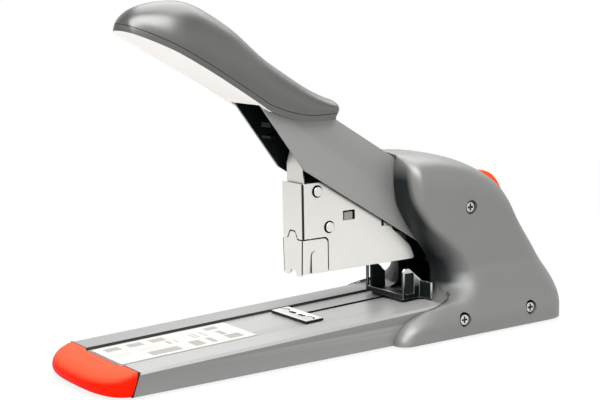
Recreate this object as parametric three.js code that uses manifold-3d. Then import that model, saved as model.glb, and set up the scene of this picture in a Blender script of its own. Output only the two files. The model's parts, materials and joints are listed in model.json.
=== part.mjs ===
// Heavy-duty desk stapler, modelled as separate pieces in millimetres with +Z up.
// The stapler stands on its rubber feet. Its nose points along -Y and its rear housing along +Y.
// Inside the machine group, Y is measured from the front edge of the base channel
// and Z from the lower edge of the channel's walls.
import * as THREE from 'three';
import { mergeVertices } from 'three/addons/utils/BufferGeometryUtils.js';
import Module from 'manifold-3d';

const wasm = await Module();
wasm.setup();
const degrees = THREE.MathUtils.degToRad;

// General fits
const CLEARANCE = 0.3;
const OVERRUN = 30;
const SCREW_SHANK_RADIUS = 1.5;
const SCREW_HEAD_RADIUS = 2.6;
const SCREW_HEAD_HEIGHT = 1.8;

// Base
const BASE_WIDTH = 70;
const BASE_LENGTH = 244;
const BASE_FRONT_HEIGHT = 10.8;
const BASE_SLOPE = degrees(1.86);
const BASE_SHEET = 1.5;
const BASE_EDGE_ROUND = 1.2;
const RECESS_WIDTH = 35.4;
const RECESS_DEPTH = 1;
const RECESS_SLOPE_WIDTH = 1.6;
const SEAM_LEAN = 4;
const CAP_LENGTH = 18;
const CAP_TONGUE_WIDTH = 50;
const CAP_TONGUE_REACH = 8;
const CAP_TONGUE_BOTTOM = 1.8;
const CAP_TONGUE_TOP = 7.6;
const FLOOR_PLATE_THICKNESS = 1.2;
const FLOOR_PLATE_FRONT = 10;
const FOOT_HEIGHT = 1.2;
const FOOT_RADIUS = 6;
const FOOT_MARGIN = 14;
const FOOT_FRONT = 22;
const FOOT_REAR_INSET = 12;
const LABEL_FRONT = 1;
const LABEL_GAP = 28.7;
const LABEL_WIDTH = 31.2;
const LABEL_THICKNESS = 0.4;

// Housing
const ARM_AXLE_Z = 40;
const HOUSING_WIDTH = 60;
const HOUSING_FOOT_MARGIN = 8;
const HOUSING_OVERHANG = 16;
const HOUSING_LENGTH = 101.5;
const HOUSING_RISE = 53;
const HOUSING_WALL = 2.4;
const HOUSING_CROWN = 22;
const HOUSING_LOBE_REACH = 17;
const HALF_JOINT_GAP = 0.15;
const ROOF_SETBACK = 9;
const COUNTERBORE_RADIUS = 3.8;
const COUNTERBORE_DEPTH = 2.6;
const BOSS_RADIUS = 4.6;
const FRAME_PLATE = 1.5;
const FRAME_INNER_WIDTH = 27.4;
const FRAME_FLANGE = 9;
const FRAME_MARGIN = 6;
const UPPER_SCREW_SETBACK = 39;
const FRONT_SCREW_SETBACK = 24;
const REAR_SCREW_INSET = 32;
const FOOT_SCREW_Z = 8.5;
const FLARE_TOP_SHARE = 0.366;
const FLARE_BOTTOM_SHARE = 0.065;
const LIP_TOP_SHARE = 0.269;
const UPPER_SCREW_SHARE = 0.683;

const HOUSING_FOOT_WIDTH = BASE_WIDTH + 2 * HOUSING_FOOT_MARGIN;
const HOUSING_REAR = BASE_LENGTH + HOUSING_OVERHANG;
const HOUSING_FRONT = HOUSING_REAR - HOUSING_LENGTH;
const HOUSING_HEIGHT = ARM_AXLE_Z + HOUSING_RISE;

// Axles
const ARM_AXLE_INSET = 45;
const ARM_AXLE_RADIUS = 4;
const MAGAZINE_AXLE_INSET = 22;
const MAGAZINE_AXLE_Z = 28;
const MAGAZINE_AXLE_RADIUS = 3.2;
const AXLE_HEAD_EXTRA = 2;
const AXLE_HEAD_THICKNESS = 1.4;

const ARM_AXLE_Y = HOUSING_REAR - ARM_AXLE_INSET;
const MAGAZINE_AXLE_Y = HOUSING_REAR - MAGAZINE_AXLE_INSET;

// Lever
const ARM_WIDTH = 25;
const ARM_SHEET = 1.5;
const ARM_END_RADIUS = 15.2;
const ARM_RISE = degrees(31.4);
const ARM_LOW_REACH = 109.3;
const ARM_HIGH_REACH = 135;
const ARM_FRONT_HIGH_Z = 123.6;
const ARM_TONGUE_SETBACK = 32;
const ARM_TONGUE_LOW = 144.2;
const ARM_TONGUE_CHAMFER = 7;
const BUSH_RADIUS = 6.2;
const BUSH_LENGTH = 3.2;

// Handle
const HANDLE_WIDTH = 36.6;
const HANDLE_WAIST_WIDTH = 31.6;
const HANDLE_WAIST_FROM = 23;
const HANDLE_WAIST_TO = 75;
const HANDLE_REACH = 200;
const HANDLE_LENGTH = 113.5;
const HANDLE_LOW = 113.2;
const HANDLE_HIGH = 172.8;
const HANDLE_CROWN = 15;
const HANDLE_NOSE_ROUND = 25;
const HANDLE_NOSE_BLUNTING = 10;
const HANDLE_NOSE_BLEND = 25;
const HANDLE_WALL = 2.4;
const HANDLE_PAN_DEPTH = 3;

const HANDLE_NOSE = ARM_AXLE_Y - HANDLE_REACH;
const HANDLE_REAR = HANDLE_NOSE + HANDLE_LENGTH;
const ARM_FRONT_LOW_Y = ARM_AXLE_Y - ARM_LOW_REACH;
const ARM_FRONT_HIGH_Y = ARM_AXLE_Y - ARM_HIGH_REACH;
const ARM_TONGUE_FRONT = HANDLE_NOSE + ARM_TONGUE_SETBACK;

// Magazine
const HEAD_REACH = 132;
const HEAD_WIDTH = 17;
const HEAD_TOP = 81.8;
const HEAD_BOTTOM = 36.2;
const HEAD_ROOF_LENGTH = 22.2;
const PLATE = 1.2;
const SEAM_HEIGHT = 53.4;
const SEAM_HUMP_HEIGHT = 4;
const SEAM_HUMP_WIDTH = 3.6;
const SEAM_HUMP_FLARE = 2.2;
const SEAM_HUMP_ROUND = 1.2;
const NOSE_LENGTH = 15.5;
const NOSE_SIDE_ROUND = 2.5;
const NOSE_TAPER = 1.3;
const NOSE_CHIN = 1;
const SEAM_GAP = 0.6;
const NOTCH_WIDTH = 5.2;
const NOTCH_HEIGHT = 1.7;
const NOTCH_ROUND = 1.6;
const MAGAZINE_LENGTH = 71.2;
const TAIL_ROUND = 6;
const DRIVER_WIDTH = 14;
const DRIVER_THICKNESS = 0.9;
const DRIVER_SETBACK = 2;
const DRIVER_BOTTOM = 60.6;
const DRIVER_SHOULDER = 91;
const DRIVER_NECK_WIDTH = 8;
const DRIVER_PIN_REACH = 3;
const DRIVER_PIN_Z = 109.5;
const DRIVER_PIN_RADIUS = 1.5;
const DRIVER_SLOT_LENGTH = 11.4;
const DRIVER_SLOT_FALL = 1.1;
const FORK_WALL = 1.2;
const GUIDE_THICKNESS = 2.2;
const RAIL_WIDTH = 11.4;
const RAIL_TOP = 51;
const RAIL_SHEET = 1;
const RAIL_INSET = 3.2;
const PUSHER_SETBACK = 24;
const PUSHER_LENGTH = 14;
const PUSHER_TOP = 56.2;
const PUSHER_CHAMFER = 2;
const PUSHER_ROD_RADIUS = 1.1;
const PUSHER_ROD_Z = 53.7;
const PUSHER_ROD_INSET = 5.2;
const PUSHER_SPRING_RADIUS = 2.2;
const BRACKET_HEIGHT = 13;
const PORT_SETBACK = 25.2;
const PORT_LENGTH = 7.4;
const PORT_BOTTOM = 61.2;
const PORT_HEIGHT = 4.8;
const UPPER_PIN_SETBACK = 9.6;
const UPPER_PIN_Z = 77.4;
const LOWER_PIN_SETBACK = 16.6;
const LOWER_PIN_Z = 58.8;
const HEAD_PIN_RADIUS = 2.6;
const HEAD_PIN_HOLE_RADIUS = 3.1;
const HEAD_PIN_PROUD = 1.2;
const CARRIER_SHEET = 1.4;
const CARRIER_EYE_RADIUS = 7.2;
const CARRIER_LAP = 31;
const CARRIER_DEPTH = 12;
const BRIDGE_SETBACK = 17;
const BRIDGE_LENGTH = 12;
const BRIDGE_HEIGHT = 3;
const BRIDGE_LIFT = 2.5;
const SPRING_SHEET = 1.3;

const HEAD_FRONT = MAGAZINE_AXLE_Y - HEAD_REACH;
const MAGAZINE_REAR = HEAD_FRONT + MAGAZINE_LENGTH;
const DRIVER_FRONT = HEAD_FRONT + DRIVER_SETBACK;
const DRIVER_PIN_Y = HEAD_FRONT - DRIVER_PIN_REACH;
const RAIL_REAR = MAGAZINE_REAR - RAIL_INSET;
const PUSHER_FRONT = HEAD_FRONT + PUSHER_SETBACK;
const PUSHER_ROD_REAR = MAGAZINE_REAR - PUSHER_ROD_INSET;

// Anvil
const ANVIL_REACH = 3.4;
const ANVIL_LENGTH = 10.4;
const ANVIL_WIDTH = 31.4;
const ANVIL_THICKNESS = 1.3;
const GROOVE_DEPTH = 0.6;
const GROOVE_WIDTH = 2.4;

const ANVIL_FRONT = HEAD_FRONT - ANVIL_REACH;

// Paper stop
const STOP_SETBACK = 4.9;
const STOP_DEPTH = 12;
const STOP_SHEET = 1.2;
const STOP_WIDTH = 31.8;
const STOP_WING_SPAN = 50;
const STOP_HEIGHT = 16.4;
const STOP_CREST = 4.1;
const STOP_NICK = 1.4;
const STOP_LIFT = 0.7;
const STOP_WING_HEIGHT = 9.6;
const STOP_WING_LIFT = 0.9;
const STOP_SILL = 3;
const SLIDER_LENGTH = 10.5;
const SLIDER_WIDTH = 26;
const SLIDER_THICKNESS = 2.2;
const LUG_THICKNESS = 1.6;
const LUG_LENGTH = 7;
const LUG_HEIGHT = 14.2;
const WINDOW_LENGTH = 6;
const WINDOW_BOTTOM = 3;
const WINDOW_MARGIN = 2.4;

const STOP_FRONT = HOUSING_FRONT + STOP_SETBACK;

// Release button
const BUTTON_WIDTH = 16;
const BUTTON_INSET = 32;
const BUTTON_HEIGHT_SHARE = 0.753;
const BUTTON_LEAN = degrees(46);
const BUTTON_LENGTH = 23.4;
const BUTTON_PROUD = 6.6;
const BUTTON_SINK = 8;
const BUTTON_SKIRT = 4.5;
const BUTTON_STEM_RISE = 2.2;
const BUTTON_STEM_FALL = 2.8;
const LATCH_PIN_SETBACK = 3;
const LATCH_PIN_DROP = 20;
const LATCH_PIN_RADIUS = 1.5;
const LATCH_WIDTH = 10;
const LATCH_HUB_RADIUS = 3.2;
const LATCH_TIP_REACH = 8.6;
const LATCH_TIP_RISE = 11.45;
const LATCH_TIP_RADIUS = 1.8;
const LATCH_TAIL_REACH = 5.5;
const LATCH_TAIL_DROP = 9;
const LATCH_TAIL_RADIUS = 1.5;

const BUTTON_Y = HOUSING_REAR - BUTTON_INSET;
const BUTTON_Z = HOUSING_HEIGHT * BUTTON_HEIGHT_SHARE;
const LATCH_PIN_Y = BUTTON_Y + LATCH_PIN_SETBACK;
const LATCH_PIN_Z = BUTTON_Z - LATCH_PIN_DROP;

const materials = {
  base: { color: 0xcfcfca, roughness: 0.4, metalness: 0.3 },
  orange: { color: 0xff3a18, roughness: 0.35, metalness: 0 },
  label: { color: 0xeeeae2, roughness: 0.6, metalness: 0 },
  black: { color: 0x111414, roughness: 0.5, metalness: 0 },
  rubber: { color: 0x1b1b1b, roughness: 0.9, metalness: 0 },
  plating: { color: 0xe6e4de, roughness: 0.25, metalness: 0.8 },
  steel: { color: 0xc4c6c8, roughness: 0.3, metalness: 1 },
  darkSteel: { color: 0x2a2d2f, roughness: 0.5, metalness: 0.6 },
  painted: { color: 0x94948f, roughness: 0.45, metalness: 0.3 },
  shell: { color: 0x8d8d88, roughness: 0.45, metalness: 0.2 },
  pale: { color: 0xe2dfd8, roughness: 0.4, metalness: 0.1 },
  screw: { color: 0xdadcdd, roughness: 0.2, metalness: 1 },
};

// Solids

const AXES = {
  x: new THREE.Matrix4().makeBasis(
    new THREE.Vector3(0, 1, 0), new THREE.Vector3(0, 0, 1), new THREE.Vector3(1, 0, 0)),
  y: new THREE.Matrix4().makeBasis(
    new THREE.Vector3(0, 0, 1), new THREE.Vector3(1, 0, 0), new THREE.Vector3(0, 1, 0)),
  z: new THREE.Matrix4(),
};

function solidOf(geometry) {
  const bare = geometry.clone();
  bare.deleteAttribute('normal');
  bare.deleteAttribute('uv');
  const merged = mergeVertices(bare);
  const kept = [];
  const index = merged.index.array;
  for (let i = 0; i < index.length; i += 3) {
    const [a, b, c] = [index[i], index[i + 1], index[i + 2]];
    if (a !== b && b !== c && c !== a) kept.push(a, b, c);
  }
  return new wasm.Manifold(new wasm.Mesh({
    numProp: 3,
    vertProperties: merged.attributes.position.array,
    triVerts: new Uint32Array(kept),
  }));
}

function meshSolid(points, triangles) {
  const geometry = new THREE.BufferGeometry();
  geometry.setAttribute('position', new THREE.Float32BufferAttribute(points.flat(), 3));
  geometry.setIndex(triangles);
  return solidOf(geometry);
}

// A prism along an axis. An outline along x is given in (y, z), along y in (x, z), along z in (x, y).
function prism(axis, outline, from, to, holes = []) {
  const toPlane = ([a, b]) => (axis === 'y' ? new THREE.Vector2(b, a) : new THREE.Vector2(a, b));
  const corners = outline.map(toPlane);
  const shape = new THREE.Shape(THREE.ShapeUtils.isClockWise(corners) ? corners.reverse() : corners);
  shape.holes = holes.map((hole) => new THREE.Path(hole.map(toPlane)));
  const geometry = new THREE.ExtrudeGeometry(shape, { depth: to - from, bevelEnabled: false });
  geometry.translate(0, 0, from);
  geometry.applyMatrix4(AXES[axis]);
  return solidOf(geometry);
}

function rectangle(a0, a1, b0, b1) {
  return [[a0, b0], [a1, b0], [a1, b1], [a0, b1]];
}

function box(x0, x1, y0, y1, z0, z1) {
  return prism('z', rectangle(x0, x1, y0, y1), z0, z1);
}

function circle(a, b, radius, sides = 24) {
  return Array.from({ length: sides }, (unused, i) => {
    const angle = (i / sides) * 2 * Math.PI;
    return [a + radius * Math.cos(angle), b + radius * Math.sin(angle)];
  });
}

function rod(axis, a, b, radius, from, to, sides = 24) {
  return prism(axis, circle(a, b, radius, sides), from, to);
}

function tube(axis, a, b, outer, inner, from, to, sides = 24) {
  return prism(axis, circle(a, b, outer, sides), from, to, [circle(a, b, inner, sides)]);
}

// An outline whose corners [a, b, radius] are rounded by arcs.
function rounded(corners, steps = 4) {
  const count = corners.length;
  return corners.flatMap(([a, b, radius = 0], i) => {
    if (radius === 0) return [[a, b]];
    const corner = new THREE.Vector2(a, b);
    const before = new THREE.Vector2(...corners[(i + count - 1) % count]).sub(corner).normalize();
    const after = new THREE.Vector2(...corners[(i + 1) % count]).sub(corner).normalize();
    const half = Math.acos(THREE.MathUtils.clamp(before.dot(after), -1, 1)) / 2;
    const start = corner.clone().addScaledVector(before, radius / Math.tan(half));
    const end = corner.clone().addScaledVector(after, radius / Math.tan(half));
    const middle = before.clone().add(after).normalize();
    const centre = corner.clone().addScaledVector(middle, radius / Math.sin(half));
    const first = start.clone().sub(centre).angle();
    let turn = end.clone().sub(centre).angle() - first;
    if (turn > Math.PI) turn -= 2 * Math.PI;
    if (turn < -Math.PI) turn += 2 * Math.PI;
    return Array.from({ length: steps + 1 }, (unused, k) => {
      const angle = first + (turn * k) / steps;
      return [centre.x + radius * Math.cos(angle), centre.y + radius * Math.sin(angle)];
    });
  });
}

function slotOutline(a0, b0, a1, b1, radius, steps = 8) {
  const turn = Math.atan2(b1 - b0, a1 - a0);
  const cap = (a, b, start) => Array.from({ length: steps + 1 }, (unused, k) => {
    const angle = start + (Math.PI * k) / steps;
    return [a + radius * Math.cos(angle), b + radius * Math.sin(angle)];
  });
  return [...cap(a1, b1, turn - Math.PI / 2), ...cap(a0, b0, turn + Math.PI / 2)];
}

// A solid that is alike on both sides of x = 0. place(i, j) gives [x, y, z] with x no less than 0
// on a grid of columns by rows, and the two sides meet along the grid's border.
function symmetricSolid(columns, rows, place) {
  const points = [];
  const triangles = [];
  const side = columns * rows;
  for (const sign of [1, -1]) {
    for (let i = 0; i < columns; i += 1) {
      for (let j = 0; j < rows; j += 1) {
        const [x, y, z] = place(i, j);
        points.push([sign * x, y, z]);
      }
    }
  }
  const at = (i, j) => i * rows + j;
  const quad = (a, b, c, d) => triangles.push(a, b, c, a, c, d);
  for (let i = 0; i + 1 < columns; i += 1) {
    for (let j = 0; j + 1 < rows; j += 1) {
      const [a, b, c, d] = [at(i, j), at(i + 1, j), at(i + 1, j + 1), at(i, j + 1)];
      quad(a, b, c, d);
      quad(side + d, side + c, side + b, side + a);
    }
  }
  const border = [];
  for (let i = 0; i < columns; i += 1) border.push(at(i, 0));
  for (let j = 1; j < rows; j += 1) border.push(at(columns - 1, j));
  for (let i = columns - 2; i >= 0; i -= 1) border.push(at(i, rows - 1));
  for (let j = rows - 2; j > 0; j -= 1) border.push(at(0, j));
  border.forEach((a, k) => {
    const b = border[(k + 1) % border.length];
    quad(b, a, side + a, side + b);
  });
  const solid = meshSolid(points, triangles);
  return solid.volume() < 0 ? meshSolid(points, triangles.reverse()) : solid;
}

// Points of an outline kept as shares of a width and a height
function scaled(shares, fromA, toA, fromB, toB) {
  return shares.map(([a, b]) => [
    THREE.MathUtils.lerp(fromA, toA, a),
    THREE.MathUtils.lerp(fromB, toB, b),
  ]);
}

function curveThrough(points) {
  return new THREE.SplineCurve(points.map(([a, b]) => new THREE.Vector2(a, b)));
}

function distanceToOutline(point, outline) {
  let best = Infinity;
  for (let i = 0; i + 1 < outline.length; i += 1) {
    const edge = outline[i + 1].clone().sub(outline[i]);
    const share = THREE.MathUtils.clamp(point.clone().sub(outline[i]).dot(edge) / edge.lengthSq(), 0, 1);
    best = Math.min(best, point.distanceTo(outline[i].clone().addScaledVector(edge, share)));
  }
  return best;
}

// How far a rounded edge has come up to full width, at a depth in from the edge
function swell(depth, reach, power) {
  const share = THREE.MathUtils.clamp(depth / reach, 0, 1);
  return (1 - (1 - share) ** power) ** (1 / power);
}

// Scene graph

const stapler = new THREE.Group();
stapler.name = 'stapler';
const machine = new THREE.Group();
machine.position.set(0, (CAP_LENGTH - HOUSING_REAR) / 2, FOOT_HEIGHT);
stapler.add(machine);

function add(name, solid, material) {
  const { vertProperties, triVerts } = solid.getMesh();
  const geometry = new THREE.BufferGeometry();
  geometry.setAttribute('position', new THREE.BufferAttribute(vertProperties, 3));
  geometry.setIndex(new THREE.BufferAttribute(triVerts, 1));
  geometry.computeVertexNormals();
  const mesh = new THREE.Mesh(geometry, new THREE.MeshStandardMaterial(materials[material]));
  mesh.name = name;
  machine.add(mesh);
}

const SIDES = [['right', 1], ['left', -1]];

function mirrored(solid, sign) {
  return sign > 0 ? solid : solid.mirror([1, 0, 0]);
}

// Base

const SLOPE = Math.tan(BASE_SLOPE);
const topOfBase = (y) => BASE_FRONT_HEIGHT + SLOPE * y;
const floorOfRecess = (y) => topOfBase(y) - RECESS_DEPTH;

// A block that lies on the sloping base between two stations
function onBase(x0, x1, y0, y1, bottom, top, ground = topOfBase) {
  return prism('x', [
    [y0, ground(y0) + bottom], [y1, ground(y1) + bottom],
    [y1, ground(y1) + top], [y0, ground(y0) + top],
  ], x0, x1);
}

function baseChannel() {
  const half = BASE_WIDTH / 2;
  const inner = half - BASE_SHEET;
  const edge = BASE_EDGE_ROUND;
  const floor = RECESS_WIDTH / 2;
  const rim = floor + RECESS_SLOPE_WIDTH;
  const deep = -topOfBase(BASE_LENGTH) - OVERRUN;
  const nearSide = [
    [rim, 0], [half - edge, 0], [half, -edge], [half, deep], [inner, deep],
    [inner, -BASE_SHEET], [rim, -BASE_SHEET], [floor, -RECESS_DEPTH - BASE_SHEET],
  ];
  const farSide = nearSide.map(([x, z]) => [-x, z]).reverse();
  const section = [[floor, -RECESS_DEPTH], ...nearSide, ...farSide, [-floor, -RECESS_DEPTH]];
  const sloping = prism('y', section, -OVERRUN, BASE_LENGTH + OVERRUN).warp((corner) => {
    corner[2] += topOfBase(corner[1]);
  });
  const side = prism('x', [
    [-SEAM_LEAN, 0], [SEAM_LEAN, 2 * BASE_FRONT_HEIGHT],
    [BASE_LENGTH, topOfBase(BASE_LENGTH) + OVERRUN], [BASE_LENGTH, 0],
  ], -BASE_WIDTH, BASE_WIDTH);
  return sloping.intersect(side);
}

function baseParts() {
  let channel = baseChannel();
  for (const [, sign] of SIDES) {
    for (const screw of FOOT_SCREWS) {
      channel = channel.subtract(rod('x', screw.y, screw.z, SCREW_SHANK_RADIUS + CLEARANCE,
        sign > 0 ? 0 : -BASE_WIDTH, sign > 0 ? BASE_WIDTH : 0));
    }
  }
  add('base_channel', channel, 'base');

  const plateHalf = BASE_WIDTH / 2 - BASE_SHEET - CLEARANCE;
  add('base_plate', box(-plateHalf, plateHalf, FLOOR_PLATE_FRONT, BASE_LENGTH - CLEARANCE,
    0, FLOOR_PLATE_THICKNESS), 'darkSteel');
  for (const [side, sign] of SIDES) {
    for (const [end, y] of [['front', FOOT_FRONT], ['rear', BASE_LENGTH - FOOT_REAR_INSET]]) {
      add(`foot_${end}_${side}`, rod('z', sign * (BASE_WIDTH / 2 - FOOT_MARGIN), y, FOOT_RADIUS,
        -FOOT_HEIGHT, 0, 28), 'rubber');
    }
  }
  add('instruction_plate', onBase(-LABEL_WIDTH / 2, LABEL_WIDTH / 2, LABEL_FRONT, ANVIL_FRONT - LABEL_GAP,
    CLEARANCE, CLEARANCE + LABEL_THICKNESS, floorOfRecess), 'label');
  add('front_cap', frontCap(), 'orange');
  add('anvil_plate', anvilPlate(), 'plating');
}

// The cap's plan is a superellipse, stacked in levels that swell and then round over.
// Each level is [share of height, share of length, share of half width].
const CAP_LEVEL_SHARES = [
  [0, 0.85, 0.975], [0.12, 0.95, 0.995], [0.35, 1, 1], [0.6, 0.96, 1],
  [0.78, 0.86, 0.99], [0.9, 0.73, 0.975], [1, 0.5, 0.955],
];
const CAP_PLAN_POWER = 2.75;

function frontCap() {
  const steps = 22;
  const half = BASE_WIDTH / 2;
  const points = [];
  for (const [up, forward, across] of CAP_LEVEL_SHARES) {
    const z = up * BASE_FRONT_HEIGHT;
    points.push([half * across, OVERRUN, z]);
    for (let k = 0; k <= steps; k += 1) {
      const angle = (Math.PI * k) / steps;
      const [c, s] = [Math.cos(angle), Math.sin(angle)];
      const x = Math.sign(c) * Math.abs(c) ** (2 / CAP_PLAN_POWER) * half * across;
      const y = -(Math.abs(s) ** (2 / CAP_PLAN_POWER)) * CAP_LENGTH * forward;
      points.push([x, y, z + SLOPE * y * up]);
    }
    points.push([-half * across, OVERRUN, z]);
  }
  const ring = steps + 3;
  const levels = CAP_LEVEL_SHARES.length;
  const triangles = [];
  for (let level = 0; level + 1 < levels; level += 1) {
    for (let k = 0; k < ring; k += 1) {
      const next = (k + 1) % ring;
      const [a, b] = [level * ring + k, level * ring + next];
      triangles.push(a, b + ring, b, a, a + ring, b + ring);
    }
  }
  const top = (levels - 1) * ring;
  for (let k = 1; k + 1 < ring; k += 1) {
    triangles.push(0, k, k + 1);
    triangles.push(top, top + k + 1, top + k);
  }
  let cap = meshSolid(points, triangles);
  if (cap.volume() < 0) cap = meshSolid(points, triangles.reverse());
  const gap = CLEARANCE;
  const behindSeam = prism('x', [
    [-SEAM_LEAN * 2 - gap, -BASE_FRONT_HEIGHT], [-SEAM_LEAN - gap, 0],
    [SEAM_LEAN - gap, 2 * BASE_FRONT_HEIGHT],
    [2 * OVERRUN, 2 * BASE_FRONT_HEIGHT], [2 * OVERRUN, -BASE_FRONT_HEIGHT],
  ], -BASE_WIDTH, BASE_WIDTH);
  const floor = RECESS_WIDTH / 2;
  const rim = floor + RECESS_SLOPE_WIDTH;
  const recess = prism('y', [
    [-floor, BASE_FRONT_HEIGHT - RECESS_DEPTH], [floor, BASE_FRONT_HEIGHT - RECESS_DEPTH],
    [rim, BASE_FRONT_HEIGHT], [rim, BASE_FRONT_HEIGHT + OVERRUN],
    [-rim, BASE_FRONT_HEIGHT + OVERRUN], [-rim, BASE_FRONT_HEIGHT],
  ], -CAP_LENGTH, OVERRUN);
  const tongue = box(-CAP_TONGUE_WIDTH / 2, CAP_TONGUE_WIDTH / 2, -SEAM_LEAN * 2, CAP_TONGUE_REACH,
    CAP_TONGUE_BOTTOM, CAP_TONGUE_TOP);
  return cap.subtract(behindSeam).subtract(recess).add(tongue);
}

function anvilPlate() {
  const half = ANVIL_WIDTH / 2;
  let plate = onBase(-half, half, ANVIL_FRONT, ANVIL_FRONT + ANVIL_LENGTH,
    CLEARANCE, CLEARANCE + ANVIL_THICKNESS, floorOfRecess);
  const y = HEAD_FRONT + PLATE + DRIVER_THICKNESS;
  const z = floorOfRecess(y) + CLEARANCE + ANVIL_THICKNESS;
  const reach = RAIL_WIDTH / 2;
  for (const sign of [1, -1]) {
    const groove = prism('z', slotOutline(sign * GROOVE_WIDTH, y, sign * reach, y, GROOVE_WIDTH / 2),
      z - GROOVE_DEPTH, z + OVERRUN);
    plate = plate.subtract(groove);
  }
  return plate;
}

// Paper stop: a slider in the recess carries a folded plate whose middle is open for the magazine

function paperStop() {
  const front = STOP_FRONT;
  const rear = front + STOP_DEPTH;
  const t = STOP_SHEET;
  const half = STOP_WIDTH / 2;
  const wing = STOP_WING_SPAN / 2;
  const ground = topOfBase(front) + CLEARANCE;
  const high = ground + STOP_HEIGHT;
  const wingTop = ground + STOP_WING_HEIGHT;
  const profile = (low) => [
    [front, low], [rear, low], [rear, wingTop], [front + STOP_CREST, high],
    [front + STOP_NICK, high], [front, high - STOP_NICK],
  ];
  const windowFront = front + t;
  const window = rounded([
    [windowFront, ground + WINDOW_BOTTOM], [windowFront + WINDOW_LENGTH, ground + WINDOW_BOTTOM],
    [windowFront + WINDOW_LENGTH, high - WINDOW_MARGIN, t], [windowFront, high - WINDOW_MARGIN],
  ]);
  let plate = box(-half, half, front, front + t, ground - OVERRUN, ground + STOP_SILL);
  for (const [, sign] of SIDES) {
    const ear = prism('x', profile(ground - OVERRUN), half - t, half, [window]);
    const flap = box(half - t, wing, rear - t, rear, topOfBase(rear) + STOP_WING_LIFT, wingTop);
    plate = plate.add(mirrored(ear.add(flap), sign));
  }
  plate = plate.subtract(onBase(-BASE_WIDTH, BASE_WIDTH, front - OVERRUN, rear + OVERRUN,
    -2 * OVERRUN, STOP_LIFT));
  add('stop_plate', plate, 'steel');

  const sliderFront = front + t + CLEARANCE;
  let slider = onBase(-SLIDER_WIDTH / 2, SLIDER_WIDTH / 2, sliderFront, sliderFront + SLIDER_LENGTH,
    CLEARANCE, SLIDER_THICKNESS, floorOfRecess);
  const lugOuter = half - t - CLEARANCE;
  const within = prism('x', profile(ground - OVERRUN), -half, half).translate([0, 0, -CLEARANCE]);
  for (const [, sign] of SIDES) {
    const lug = box(lugOuter - LUG_THICKNESS, lugOuter, sliderFront, sliderFront + LUG_LENGTH,
      ground + CLEARANCE, ground + LUG_HEIGHT).intersect(within);
    const web = onBase(0, lugOuter, sliderFront, sliderFront + LUG_LENGTH, STOP_LIFT, SLIDER_THICKNESS);
    slider = slider.add(mirrored(lug.add(web), sign));
  }
  add('stop_slider', slider, 'black');
}

// Housing: two shells, each a side whose width swells in from the outline seen from the side

const HOUSING_BACK_SHARES = [
  [0, 1], [0.12, 0.996], [0.22, 0.987], [0.31, 0.968], [0.41, 0.938], [0.5, 0.9], [0.586, 0.852],
  [0.665, 0.79], [0.734, 0.7], [0.793, 0.59], [0.852, 0.495], [0.901, 0.42], [0.946, 0.34],
  [0.985, 0.25], [1, 0.15], [1, 0],
];
const HOUSING_LIP_SHARES = [
  [0.03, 1], [0.015, 0.9], [0.015, 0.81], [0.03, 0.72], [0.074, 0.63], [0.128, 0.54],
  [0.197, 0.44], [0.236, 0.365], [0.246, 0.27], [0.225, 0.2], [0.1, 0.17], [0.02, 0.155],
  [-0.085, 0.112], [-0.148, 0.045], [-0.167, 0],
];

const housingBack = curveThrough(scaled(HOUSING_BACK_SHARES, HOUSING_FRONT, HOUSING_REAR, 0, HOUSING_HEIGHT));
const housingLip = curveThrough(scaled(HOUSING_LIP_SHARES, HOUSING_FRONT, HOUSING_REAR, 0, HOUSING_HEIGHT));
const housingBackOutline = housingBack.getPoints(120);
const housingLipOutline = housingLip.getPoints(120);

function housingHalfWidth(z) {
  const up = z / HOUSING_HEIGHT;
  const share = THREE.MathUtils.clamp(
    (up - FLARE_BOTTOM_SHARE) / (FLARE_TOP_SHARE - FLARE_BOTTOM_SHARE), 0, 1);
  const flare = (1 + Math.cos(Math.PI * share)) / 2;
  return THREE.MathUtils.lerp(HOUSING_WIDTH, HOUSING_FOOT_WIDTH, flare) / 2;
}

function lipHalfWidth(z) {
  const low = topOfBase(HOUSING_FRONT - HOUSING_LOBE_REACH);
  const share = THREE.MathUtils.smoothstep(z, low, HOUSING_HEIGHT * LIP_TOP_SHARE);
  return THREE.MathUtils.lerp(BASE_WIDTH / 2 + CLEARANCE, FRAME_INNER_WIDTH / 2 - CLEARANCE, share);
}

// How far behind the lip the side reaches its full width: short above, long beside the throat
const ROLL_SHORT = 7;
const ROLL_LONG = 22;
const ROLL_CENTRE = 30;
const ROLL_SPREAD = 24;

function rollDepth(z) {
  const share = Math.min(1, Math.abs(z - ROLL_CENTRE) / ROLL_SPREAD);
  return THREE.MathUtils.lerp(ROLL_LONG, ROLL_SHORT, share);
}

function housingWidthAt(point, inset) {
  const crown = swell(distanceToOutline(point, housingBackOutline) - inset, HOUSING_CROWN, 3);
  const full = (housingHalfWidth(point.y) - inset) * crown;
  const lip = Math.min(full, lipHalfWidth(point.y));
  const roll = swell(distanceToOutline(point, housingLipOutline) - inset, rollDepth(point.y), 2.2);
  return lip + (full - lip) * roll;
}

// The inset gives the hollow inside the same form, one wall thickness in from it
function housingForm(inset, columns, rows) {
  const bottom = inset > 0 ? -OVERRUN : 0;
  const grid = (i, j) => {
    const v = j / (rows - 1);
    const u = (1 - Math.cos((Math.PI * i) / (columns - 1))) / 2;
    const back = housingBack.getPoint(v);
    const inward = housingBack.getTangent(v);
    back.add(new THREE.Vector2(inward.y, -inward.x).multiplyScalar(inset));
    const lip = housingLip.getPoint(v);
    lip.x += inset;
    lip.y = Math.min(lip.y, HOUSING_HEIGHT - inset);
    const point = lip.clone().lerp(back, u);
    const x = i === columns - 1 && v < 1 ? 0 : housingWidthAt(point, inset);
    const z = j === rows - 1 ? bottom : point.y;
    return [x, point.x, z];
  };
  return symmetricSolid(columns, rows, grid);
}

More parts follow.
